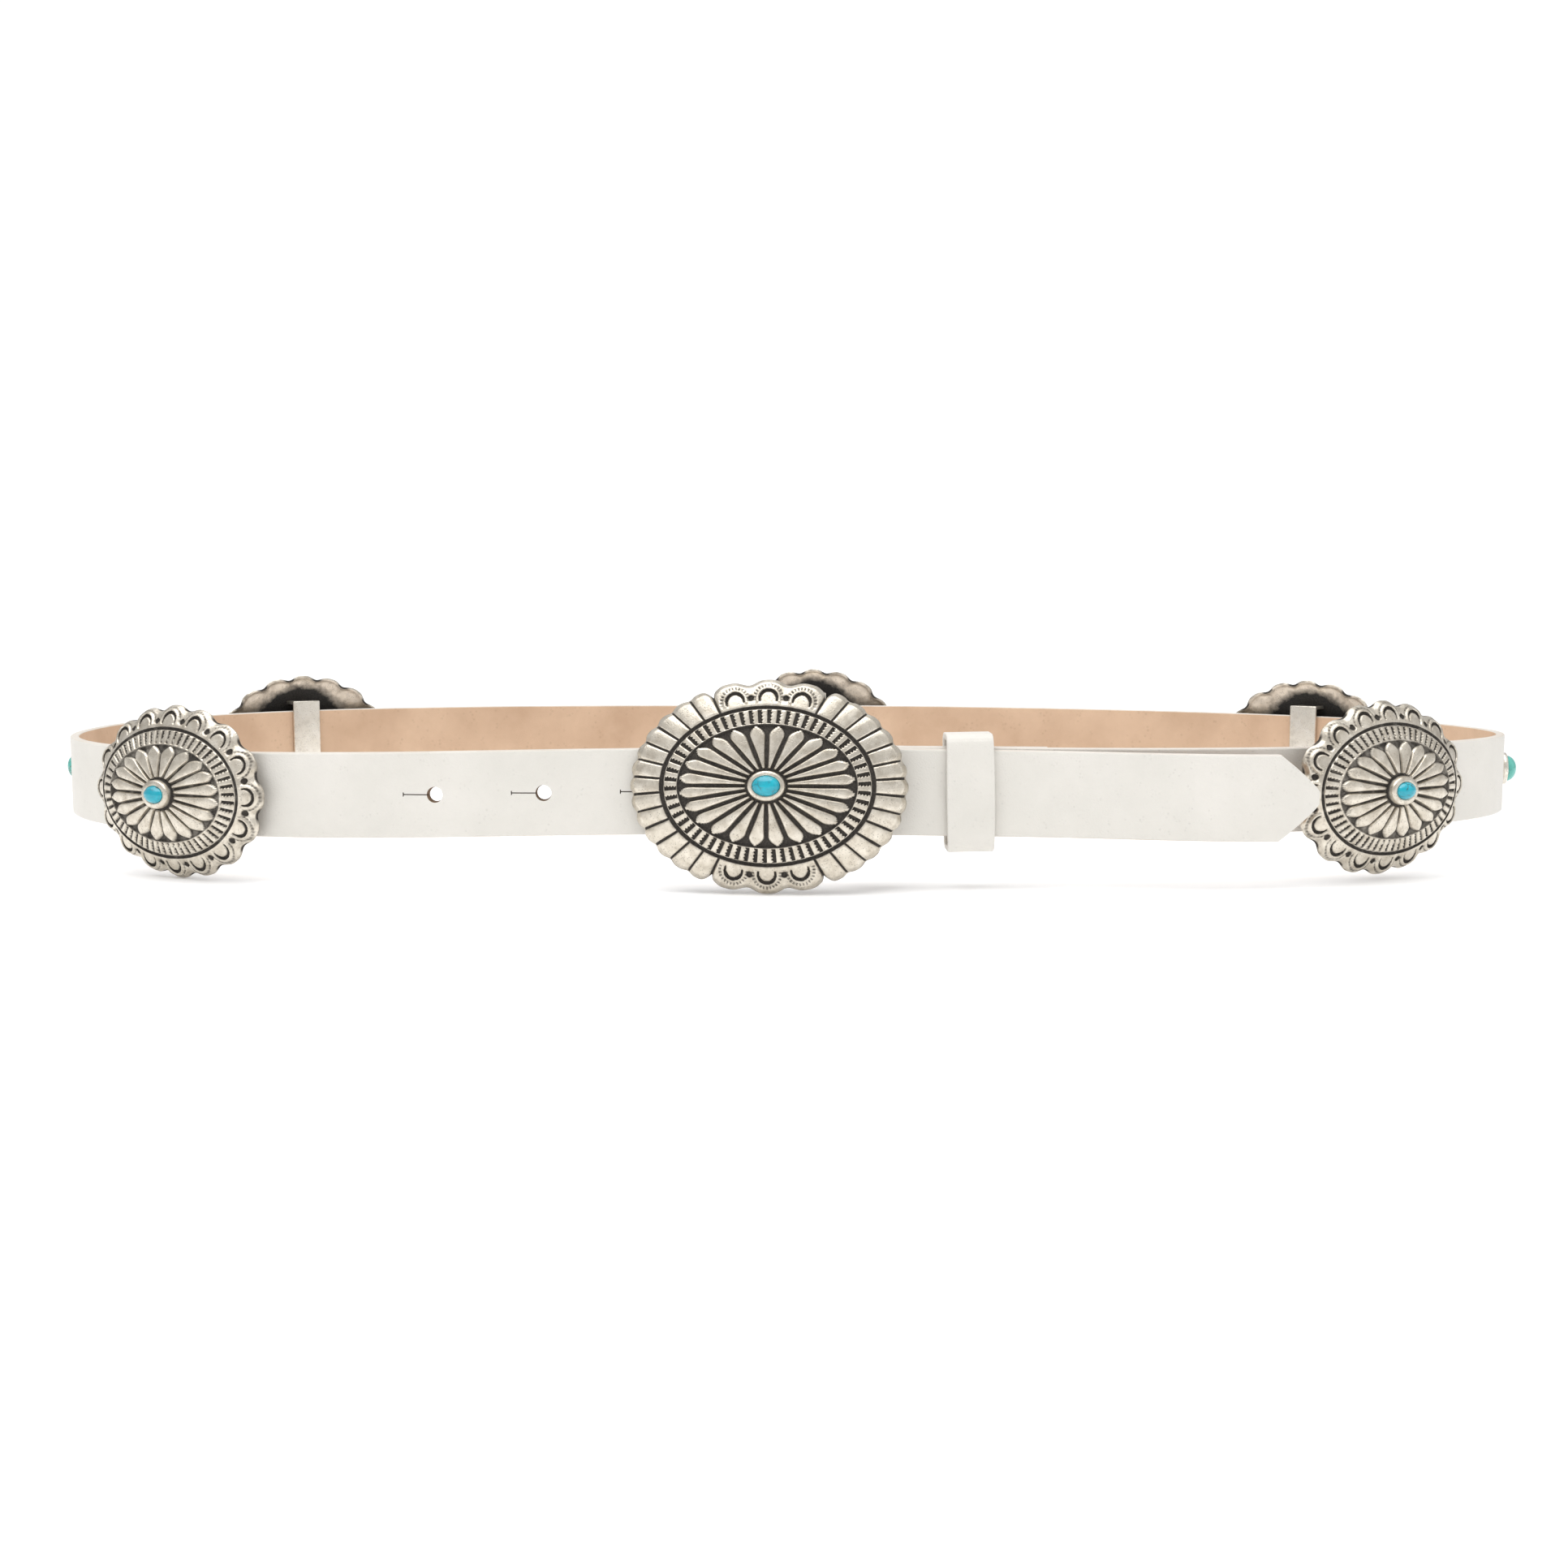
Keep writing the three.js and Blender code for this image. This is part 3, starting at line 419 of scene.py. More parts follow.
def new_material(name, **constants):
    """A material with a Principled shader whose plain values sit on its own sockets."""
    material = bpy.data.materials.new(name)
    material.use_nodes = True
    tree = Tree(material.node_tree)
    shader = material.node_tree.nodes["Principled BSDF"]
    for label, value in constants.items():
        shader.inputs[label.replace("_", " ")].default_value = value
    return material, tree, shader


def scaled(tone, share):
    return tuple(share * value for value in tone[:3]) + (1,)


def add_bump(tree, shader, height, strength, distance):
    bump = tree.add("ShaderNodeBump", sockets={
        "Strength": strength, "Distance": distance, "Height": height})
    tree.feed(shader.inputs["Normal"], bump)


def placed(tree, group, **values):
    node = tree.add("ShaderNodeGroup", node_tree=group)
    for label, value in values.items():
        tree.feed(node.inputs[label.replace("_", " ")], value)
    return node


def make_leather(name, dark, light, roughness, pits, bumps, depth, pit_share):
    """Leather with so many pits and bumps to the metre, and soft changes of tone."""
    material, tree, shader = new_material(name, Roughness=roughness, Specular_IOR_Level=0.35)
    grain = placed(tree, GRAIN, Pits_Per_Metre=pits, Bumps_Per_Metre=bumps, Pit_Depth=0.6,
                   Pit_Share=pit_share)
    mottle = placed(tree, MOTTLE, Patches_Per_Metre=45.0, Dark=dark, Light=light)
    pitted = tree.math("MULTIPLY", grain.outputs["Pits"], 0.35)
    tree.feed(shader.inputs["Base Color"],
              tree.mix(pitted, mottle.outputs["Color"], scaled(dark, 0.72)))
    add_bump(tree, shader, grain.outputs["Height"], depth, 0.0002)
    return material


def make_cast_metal(name, light, warm, dark, roughness):
    """Antiqued casting: bright where it is rubbed, dark where the attribute of patina and painted
    shade is high.
    """
    material, tree, shader = new_material(name, Specular_IOR_Level=0.5)
    grain = placed(tree, GRAIN, Pits_Per_Metre=2100.0, Bumps_Per_Metre=3600.0, Pit_Depth=0.8,
                   Pit_Share=0.6)
    mottle = placed(tree, MOTTLE, Patches_Per_Metre=430.0, Dark=warm, Light=light)
    deposit = placed(tree, MOTTLE, Patches_Per_Metre=2600.0, Dark=dark, Light=scaled(dark, 3.6))
    # The attribute holds the casting's patina in its hollows, and painted shade at the stones'
    # lips and in the hollow backs
    patina_and_shade = tree.add("ShaderNodeAttribute", attribute_name="patina_and_shade").outputs["Fac"]
    speckle = tree.math("MULTIPLY", grain.outputs["Pits"], 0.5)
    ragged = tree.math("ADD", patina_and_shade, tree.remap(mottle.outputs["Mask"], 0, 1, 0.1, -0.1))
    covered = tree.math("MAXIMUM", tree.remap(ragged, 0.16, 0.6), speckle)
    tree.feed(shader.inputs["Base Color"],
              tree.mix(covered, mottle.outputs["Color"], deposit.outputs["Color"]))
    tree.feed(shader.inputs["Roughness"], tree.remap(covered, 0, 1, roughness, 0.8))
    tree.feed(shader.inputs["Metallic"], tree.remap(covered, 0, 1, 0.95, 0.3))
    add_bump(tree, shader, grain.outputs["Height"], 0.4, 0.00012)
    return material


def make_turquoise(name, light, deep, vein, vein_share):
    """Polished stone with soft clouds and a fine dark web."""
    material, tree, shader = new_material(name, Roughness=0.18, Coat_Weight=0.4,
                                          Coat_Roughness=0.08)
    mottle = placed(tree, MOTTLE, Patches_Per_Metre=330.0, Dark=deep, Light=light)
    place = tree.add("ShaderNodeTexCoord").outputs["Object"]
    noise = tree.add("ShaderNodeTexNoise", sockets={"Vector": place, "Scale": 420.0})
    bend = tree.add("ShaderNodeVectorMath", noise.outputs[1], (0.0022, 0.0022, 0.0022),
                    operation="MULTIPLY")
    bent = tree.add("ShaderNodeVectorMath", place, bend, operation="ADD")
    web = tree.add("ShaderNodeTexVoronoi", feature="DISTANCE_TO_EDGE", sockets={
        "Vector": bent, "Scale": 360.0})
    line = tree.remap(web.outputs["Distance"], 0.0, 0.05, 1.0, 0.0)
    gate = tree.add("ShaderNodeTexNoise", sockets={"Vector": place, "Scale": 260.0})
    shown = tree.remap(gate.outputs[0], 1 - vein_share, 1.12 - vein_share)
    veins = tree.math("MULTIPLY", line, shown)
    tree.feed(shader.inputs["Base Color"], tree.mix(veins, mottle.outputs["Color"], vein))
    add_bump(tree, shader, mottle.outputs["Mask"], 0.05, 0.0001)
    return material


WHITE_LEATHER = make_leather(
    "white grained leather", dark=(0.692, 0.668, 0.614, 1), light=(0.756, 0.726, 0.673, 1),
    roughness=0.55, pits=1100.0, bumps=2600.0, depth=0.45, pit_share=0.45)
WHITE_EDGE = make_leather(
    "white painted edge", dark=(0.62, 0.56, 0.49, 1), light=(0.72, 0.68, 0.62, 1),
    roughness=0.5, pits=600.0, bumps=1500.0, depth=0.12, pit_share=0.3)
TAN_BACK = make_leather(
    "tan suede back", dark=(0.53, 0.355, 0.235, 1), light=(0.66, 0.465, 0.32, 1),
    roughness=0.85, pits=700.0, bumps=3800.0, depth=0.35, pit_share=0.5)
RAW_EDGE = make_leather(
    "raw punched edge", dark=(0.13, 0.08, 0.05, 1), light=(0.28, 0.19, 0.12, 1),
    roughness=0.85, pits=900.0, bumps=3000.0, depth=0.3, pit_share=0.5)
CAST_SILVER = make_cast_metal(
    "antiqued cast silver", light=(0.76, 0.705, 0.61, 1), warm=(0.52, 0.465, 0.38, 1),
    dark=(0.022, 0.019, 0.016, 1), roughness=0.35)
CAST_BACK = make_cast_metal(
    "rough cast back", light=(0.72, 0.64, 0.54, 1), warm=(0.54, 0.47, 0.39, 1),
    dark=(0.012, 0.011, 0.01, 1), roughness=0.5)
PLAIN_SILVER = make_cast_metal(
    "plain rolled silver", light=(0.84, 0.80, 0.72, 1), warm=(0.74, 0.69, 0.60, 1),
    dark=(0.05, 0.045, 0.04, 1), roughness=0.3)
TURQUOISE = make_turquoise(
    "blue turquoise", light=(0.004, 0.42, 0.53, 1), deep=(0.003, 0.27, 0.36, 1),
    vein=(0.04, 0.03, 0.02, 1), vein_share=0.5)
GREEN_TURQUOISE = make_turquoise(
    "green turquoise", light=(0.14, 0.52, 0.44, 1), deep=(0.06, 0.36, 0.31, 1),
    vein=(0.09, 0.065, 0.045, 1), vein_share=0.5)


# Meshes

def new_object(name, mesh):
    piece = bpy.data.objects.new(name, mesh)
    bpy.context.collection.objects.link(piece)
    return piece


def mesh_of(name, points, faces, materials, indexes=None, patina_and_shade=None, shaded=True):
    """A mesh in metres from points in millimetres."""
    mesh = bpy.data.meshes.new(name)
    mesh.from_pydata((np.asarray(points) * MM).tolist(), [], [tuple(face) for face in faces])
    for material in materials:
        mesh.materials.append(material)
    if indexes is not None:
        mesh.polygons.foreach_set("material_index", np.asarray(indexes, np.int32))
    if patina_and_shade is not None:
        layer = mesh.attributes.new("patina_and_shade", "FLOAT", "POINT")
        layer.data.foreach_set("value", np.asarray(patina_and_shade, np.float32))
    mesh.polygons.foreach_set("use_smooth", [shaded] * len(mesh.polygons))
    mesh.update()
    return mesh


def moved(matrix, points):
    """Points in millimetres taken from a piece's own frame into the part's."""
    matrix = np.array(matrix)
    return np.asarray(points) @ matrix[:3, :3].T + matrix[:3, 3]


def skin_of(rings):
    """Faces of a closed skin over rings of equal counts, then one middle point at either end."""
    ring_count, count = rings.shape[:2]
    ring, at = np.meshgrid(np.arange(ring_count - 1), np.arange(count), indexing="ij")
    here = ring * count + at
    beside = ring * count + (at + 1) % count
    faces = np.stack([here, here + count, beside + count, beside], -1).reshape(-1, 4).tolist()
    first = ring_count * count
    last = (ring_count - 1) * count
    around = np.arange(count)
    faces += [(first, k, (k + 1) % count) for k in around.tolist()]
    faces += [(first + 1, last + (k + 1) % count, last + k) for k in around.tolist()]
    middles = np.stack([rings[0].mean(0), rings[-1].mean(0)])
    return np.concatenate([rings.reshape(-1, 3), middles]), faces


def turned(profile, sides, width_share=1.0, height_share=1.0):
    """A turned skin from (radius, height) points, from the front's middle to the back's."""
    angle = np.arange(sides) * TURN / sides
    rings = np.stack([np.stack([radius * width_share * np.cos(angle),
                                radius * height_share * np.sin(angle),
                                np.full(sides, height)], -1) for radius, height in profile])
    return skin_of(rings)


def rounded_box(low, high, radius, steps=3):
    """A box with round edges, as points and faces, in a frame with its corners at low and high."""
    box = bmesh.new()
    bmesh.ops.create_cube(box, size=1)
    low, high = np.array(low), np.array(high)
    for vertex in box.verts:
        vertex.co = Vector((low + high) / 2 + np.array(vertex.co) * (high - low))
    bmesh.ops.bevel(box, geom=box.edges[:], offset=radius, segments=steps, affect="EDGES",
                    profile=0.5)
    box.verts.index_update()
    points = np.array([vertex.co[:] for vertex in box.verts])
    faces = [[vertex.index for vertex in face.verts] for face in box.faces]
    box.free()
    return points, faces


def wire(points, diameter, sides=20):
    """A round wire along points, with flat ends, as points and faces."""
    points = np.asarray(points, float)
    along = np.gradient(points, axis=0)
    along /= np.linalg.norm(along, axis=1, keepdims=True)
    plane = np.linalg.svd(points - points.mean(0))[2][2]
    across = np.cross(along, plane)
    across /= np.linalg.norm(across, axis=1, keepdims=True)
    angle = np.arange(sides) * TURN / sides
    radius = diameter / 2
    rings = np.stack([point + radius * (np.cos(angle)[:, None] * side
                                        + np.sin(angle)[:, None] * np.cross(way, side))
                      for point, side, way in zip(points, across, along)])
    made, faces = skin_of(rings)
    return made, [face[::-1] for face in faces]


class Parts:
    """Collects skins into one mesh."""

    def __init__(self):
        self.points, self.faces, self.indexes, self.patina_and_shade = [], [], [], []
        self.count = 0

    def add(self, points, faces, index=0, patina_and_shade=0.0):
        self.points.append(points)
        self.faces += [tuple(self.count + at for at in face) for face in faces]
        self.indexes += [index] * len(faces) if np.isscalar(index) else list(index)
        self.patina_and_shade.append(np.broadcast_to(patina_and_shade, len(points)))
        self.count += len(points)

    def mesh(self, name, materials, matrix=None):
        points = np.concatenate(self.points)
        if matrix is not None:
            points = moved(matrix, points)
        return mesh_of(name, points, self.faces, materials, self.indexes,
                       np.concatenate(self.patina_and_shade))


def plate_frame(point, forward, height, turn=0.0, lean=0.0):
    """The frame of a plate beside the loop, in millimetres of the part's frame."""
    along = Vector((forward[0], forward[1], 0))
    up = Vector((0, 0, 1))
    out = along.cross(up)
    basis = Matrix((along, up, out)).transposed().to_4x4()
    basis.translation = Vector((point[0], point[1], height)) + Vector(ORIGIN)
    return basis @ Matrix.Rotation(turn, 4, "Y") @ Matrix.Rotation(lean, 4, "X")


# Ornament of the plates. Each zone takes q, the share of the way across it, and gives a height
# over the smooth dome and how dark its patina is. Heights, depths and widths are in millimetres.

RECESS = 0.42
FOOT_DEPTH = 0.6 * RECESS
PETAL_RISE = 0.2
PETAL_CROWN = 0.16
PETAL_WIDTHS = np.array([(0, 0.36), (0.35, 0.4), (0.75, 0.465), (1, 0.47)])
PETAL_SHOULDER = 1.8
LADDER_RISE = 0.12
SLOT = (0.02, 0.54)
SLOT_REACH = (0.1, 0.98)
TOOTH = 0.2
TEETH = 4.5
SEAM_TONE = 0.8
GROOVE_DEPTH = 0.5
RAY_RISE = 0.1
RAY_PILLOW = 0.1
RAY_LINE_DEPTH = 0.45
RAY_GROOVE = 0.26
PANEL_RISE = 0.16
PANEL_LINE_DEPTH = 0.4
LOBE_RISE = 0.02
LOBE_PILLOW = 0.14
STAMP_DEPTH = 0.55
CRESCENT_HALF_WIDTH = 0.4
RIDGE_HEIGHT = 0.2
RIDGE_AT = 1.3
HATCH_DEPTH = 0.2
HATCH_TONE = 0.55
HATCH_AT = 1.6
DOT_RADIUS = 0.68
RIM_ROUNDING = 0.45


def petal_relief(q, angle, count, pitch, reach, point, fill, open_tone):
    """Petals with round shoulders that run to a point over the last stretch of their reach."""
    share = np.abs(np.mod(angle * count / TURN, 1) - 0.5)
    left = np.clip((1 - q) * reach / point, 0, 1)
    half = fill * np.interp(q, *PETAL_WIDTHS.T) * (1 - (1 - left) ** PETAL_SHOULDER)
    inside = (half - share) * pitch
    crown = np.clip(1 - (share / np.maximum(half, 0.05)) ** 2, 0, 1)
    top = smooth(-0.06, 0.26, inside)
    dark = (1 - smooth(-0.04, 0.16, inside)) * (1 - (1 - open_tone) * smooth(0.1, 0.5, -inside))
    return -RECESS + (RECESS + PETAL_RISE) * top + PETAL_CROWN * crown * top, dark


def ladder_relief(q, arc, count, pitch):
    """Sunk marks with one toothed side, and a dark seam along the inner edge."""
    share = np.mod(arc * count, 1)
    saw = np.abs(2 * np.mod(q * TEETH, 1) - 1)
    inside = np.minimum(share - SLOT[0] - TOOTH * saw, SLOT[1] - share) * pitch
    inside = np.minimum(inside, np.minimum(q - SLOT_REACH[0], SLOT_REACH[1] - q) * 3)
    height = LADDER_RISE - (LADDER_RISE + RECESS) * smooth(-0.07, 0.09, inside)
    seam = SEAM_TONE * (1 - smooth(0.03, 0.09, q))
    return height, np.maximum(smooth(-0.05, 0.06, inside), seam)


def ray_relief(share, pitch):
    """Flat rays with soft sides between cut lines."""
    away = np.minimum(share, 1 - share) * pitch
    pillow = RAY_PILLOW * (1 - (2 * share - 1) ** 4)
    line = 1 - smooth(RAY_GROOVE * 0.5, RAY_GROOVE + 0.12, away)
    dark = 1 - smooth(RAY_GROOVE * 0.7, RAY_GROOVE + 0.06, away)
    return pillow + RAY_RISE - RAY_LINE_DEPTH * line, dark


def lunette_relief(x, y, centre, outward, size, strokes, comb):
    """A stamped crescent that opens inwards, inside a fine arc with short strokes.

    Lean is the angle round the stamp's centre from its outward side, in radians.
    """
    dx, dy = x - centre[0], y - centre[1]
    out = dx * outward[0] + dy * outward[1]
    side = dx * outward[1] - dy * outward[0]
    radius = np.hypot(out, side)
    lean = np.arctan2(side, out)
    away = np.abs(lean)
    ends = 1 - smooth(1.8, 2.0, away)
    thick = CRESCENT_HALF_WIDTH * (1 - 0.5 * smooth(0.7, 1.9, away))
    crescent = smooth(-0.05, 0.1, thick - np.abs(radius - size)) * ends
    ridge = RIDGE_HEIGHT * smooth(-0.1, 0.2, 0.3 - np.abs(radius - size * RIDGE_AT)) * ends
    band = smooth(-0.1, 0.1, 0.1 + 0.4 * comb - np.abs(radius - size * HATCH_AT))
    stroke = smooth(0.35, 0.75, 0.5 + 0.5 * np.cos(lean * strokes))
    hatch = band * (1 - smooth(1.6, 1.9, away)) * (1 - comb + comb * stroke)
    height = ridge - STAMP_DEPTH * crescent - HATCH_DEPTH * hatch
    return height, np.maximum(crescent, HATCH_TONE * hatch)


def dot_relief(x, y, centre):
    sunk = smooth(-0.12, 0.14, DOT_RADIUS - np.hypot(x - centre[0], y - centre[1]))
    return -STAMP_DEPTH * sunk, sunk


def on_ellipse(axes, angle):
    point = np.array([axes[0] * math.cos(angle), axes[1] * math.sin(angle)])
    outward = np.array([math.cos(angle) / axes[0], math.sin(angle) / axes[1]])
    return point, outward / np.linalg.norm(outward)


def arc_share(axes, angle):
    """Share of an ellipse's way round at each angle, so that marks are evenly spaced along it."""
    fine = np.linspace(0, TURN, 2881)
    steps = np.hypot(axes[0] * np.diff(np.cos(fine)), axes[1] * np.diff(np.sin(fine)))
    way = np.concatenate([[0], np.cumsum(steps)])
    return np.interp(angle, fine, way / way[-1])


NOTCH_SHARPNESS = 3.5


def notch_at(angle, runs):
    """How far the outline is pulled in at each angle, and where each angle lies in its lobe."""
    pulled, share = np.zeros(angle.shape), np.zeros(angle.shape)
    for start, end, count, notch, first in runs:
        width = (end - start) / count
        along = np.mod(angle - start, TURN)
        inside = along < end - start - 1e-9
        at = np.mod(along / width, 1)
        deep = notch * np.abs(np.cos(math.pi * at)) ** NOTCH_SHARPNESS
        near = np.minimum(along, end - start - along) / width
        corner = first * (1 - np.sin(math.pi * np.clip(near, 0, 0.5))) ** 2
        pulled = np.where(inside, np.where(near < 0.5, np.maximum(deep, corner), deep), pulled)
        share = np.where(inside, at, share)
    return pulled, share


def lobe_angle(number):
    """Angle of a concho's lobe, moved so that the lobes are evenly spaced round the edge."""
    even = number * TURN / CONCHO_LOBES
    return even + LOBE_SPREAD * math.sin(2 * even)


def lobe_share(angle):
    """Even angle that each angle round a concho stands for."""
    even = np.linspace(0, TURN, 1441)
    return np.interp(angle, even + LOBE_SPREAD * np.sin(2 * even), even)


RAY_HALF = BUCKLE_RAY_SECTOR / 2
PANEL_HALF = math.pi / 2 - RAY_HALF
LOBE_HALF = math.pi / CONCHO_LOBES
CONCHO_NOTCH = 0.053
RAY_NOTCH = 0.018
LUNETTE_NOTCH = 0.045
CORNER_NOTCH = 0.085

# Runs of notches: start and end angle, count, then depth of a notch and of the run's corners
CONCHO_RUNS = [(-LOBE_HALF, TURN - LOBE_HALF, CONCHO_LOBES, CONCHO_NOTCH, CONCHO_NOTCH)]
BUCKLE_RUNS = []
for half_turn in (0, math.pi):
    BUCKLE_RUNS += [
        (half_turn - RAY_HALF, half_turn + RAY_HALF, BUCKLE_RAYS, RAY_NOTCH, CORNER_NOTCH),
        (half_turn + RAY_HALF, half_turn + math.pi - RAY_HALF, BUCKLE_LUNETTES, LUNETTE_NOTCH,
         CORNER_NOTCH),
    ]

# Each plate's ornament. A zone has its inner semi-axes and its count of rings. The inset is how
# much smaller all round the stone looks, the point the stretch over which a petal narrows, the
# fill the share of its place that a petal takes, the marks are the ladder's, a lunette has its
# angle and radius, and the comb is how far the strokes break up its arc.
CONCHO = {
    "width": CONCHO_WIDTH, "height": CONCHO_HEIGHT, "dome": CONCHO_DOME, "sides": 640,
    "even": lobe_share, "runs": CONCHO_RUNS,
    "bezel": CONCHO_BEZEL_HEIGHT, "inset": 0.22,
    "zones": [("foot", 4.4, 3.6, 2), ("petals", 4.9, 4.1, 30), ("field", 17.5, 11.4, 1),
              ("ladder", 17.6, 11.5, 22), ("groove", 21.2, 14.8, 6), ("border", 22.0, 15.6, 28)],
    "petals": 20, "point": 2.6, "fill": 1.0, "marks": 56,
    "patina_and_shade": 0.62, "border_patina": 0.9, "open_tone": 0.88, "groove_tone": 3.0,
    "lunettes": [(lobe_angle(k), 1.95) for k in range(CONCHO_LOBES)],
    "lunette_axes": (23.2, 17.0), "strokes": 24, "comb": 0.28,
    "dots": [lobe_angle(k + 0.5) for k in range(CONCHO_LOBES)], "dot_axes": (23.5, 17.1),
}
BUCKLE = {
    "width": BUCKLE_WIDTH, "height": BUCKLE_HEIGHT, "dome": BUCKLE_DOME, "sides": 720,
    "even": lambda angle: angle, "runs": BUCKLE_RUNS,
    "bezel": BUCKLE_BEZEL_HEIGHT, "inset": 0.0,
    "zones": [("foot", 4.4, 3.6, 2), ("petals", 4.9, 4.1, 32), ("field", 20.0, 13.6, 1),
              ("ladder", 20.1, 13.7, 22), ("groove", 23.3, 17.2, 6), ("border", 24.3, 18.0, 28)],
    "petals": 24, "point": 2.3, "fill": 0.88, "marks": 58,
    "patina_and_shade": 1.0, "border_patina": 1.0, "open_tone": 0.95, "groove_tone": 2.2,
    "lunettes": [(middle + k * math.radians(17), 1.95) for middle in (math.pi / 2, -math.pi / 2)
                 for k in (-1, 0, 1)],
    "lunette_axes": (25.6, 19.7), "strokes": 26, "comb": 0.7,
    "dots": [middle + k * math.radians(8.6) for middle in (math.pi / 2, -math.pi / 2)
             for k in (-1, 1)],
    "dot_axes": (26.4, 20.0),
}

# The share of a plate's radius at which its cup stands
SEAT_SHARE = 0.2


def bezel_rings(spec, angle):
    """The stone's cup, from its seat's floor over a rounded lip to its foot."""
    top = front_height(spec["dome"], SEAT_SHARE) + spec["bezel"]
    inner = FIT_GAP - spec["inset"]
    outer = FIT_GAP + BEZEL_WALL
    profile = [(inner - 0.4, -BEZEL_DEPTH), (inner, -BEZEL_DEPTH), (inner, -0.2),
               (inner - 0.26, 0.1), (inner - 0.36, 0.36), (inner - 0.3, 0.5),
               (inner - 0.05, 0.52), (outer - 0.4, 0.44), (outer - 0.14, 0.2),
               (outer - 0.08, -0.15), (outer, -spec["bezel"] - 0.1)]
    rings = [np.stack([(STONE_WIDTH / 2 + grow) * np.cos(angle),
                       (STONE_HEIGHT / 2 + grow) * np.sin(angle),
                       np.full(angle.shape, top + rise)], -1) for grow, rise in profile]
    # Tones from the seat's floor to the cup's foot; the dark on the lip's inner side, next to the
    # stone, is painted shade of the gap between lip and stone
    dark = [1, 1, 1, 1, 0.8, 0.15, 0, 0, 0, 0.15, 0.9]
    return rings, [np.full(angle.shape, value) for value in dark]


def border_relief(spec, q, x, y, angle, pitch_of):
    """Rays and stamped panels on the buckle, pillowed and stamped lobes on a concho."""
    share = notch_at(spec["even"](angle), spec["runs"])[1]
    if spec is BUCKLE:
        from_middle = np.abs(np.abs(np.mod(angle, TURN) - math.pi) - math.pi / 2)
        rays, ray_dark = ray_relief(share, pitch_of(BUCKLE_RAY_SECTOR / BUCKLE_RAYS))
        edge = 1 - smooth(0.1, 0.3, np.abs(from_middle - PANEL_HALF) * pitch_of(1.0))
        panel = from_middle < PANEL_HALF
        height = np.where(panel, PANEL_RISE - PANEL_LINE_DEPTH * edge, rays)
        dark = np.where(panel, edge, ray_dark)
    else:
        pillow = LOBE_PILLOW * np.sin(math.pi * share)
        height = LOBE_RISE + pillow * smooth(0.35, 0.9, q)
        dark = np.zeros(height.shape)
    stamps = [lunette_relief(x, y, *on_ellipse(spec["lunette_axes"], at), size, spec["strokes"],
                             spec["comb"]) for at, size in spec["lunettes"]]
    stamps += [dot_relief(x, y, on_ellipse(spec["dot_axes"], at)[0]) for at in spec["dots"]]
    for stamp_height, stamp_dark in stamps:
        height = height + stamp_height
        dark = np.maximum(dark, stamp_dark)
    return height * smooth(0, 0.06, q), np.maximum(dark, 0.7 * (1 - smooth(0.0, 0.05, q)))


# Shares of the rim and heights of its rounded side, then the shares of the hollow's rings
RIM_SIDE = ((0.995, 0.72), (1.0, 0.5), (1.0, 0.3), (0.992, 0.12), (0.975, 0.02))
HOLLOW_RINGS = (0.955, 0.93, 0.905, 0.88, 0.84, 0.78, 0.7, 0.6, 0.48, 0.34, 0.18)
RIM_INSET = 0.985
LOBE_PRESS = 0.42
CASTING_ROUGHNESS = 0.09


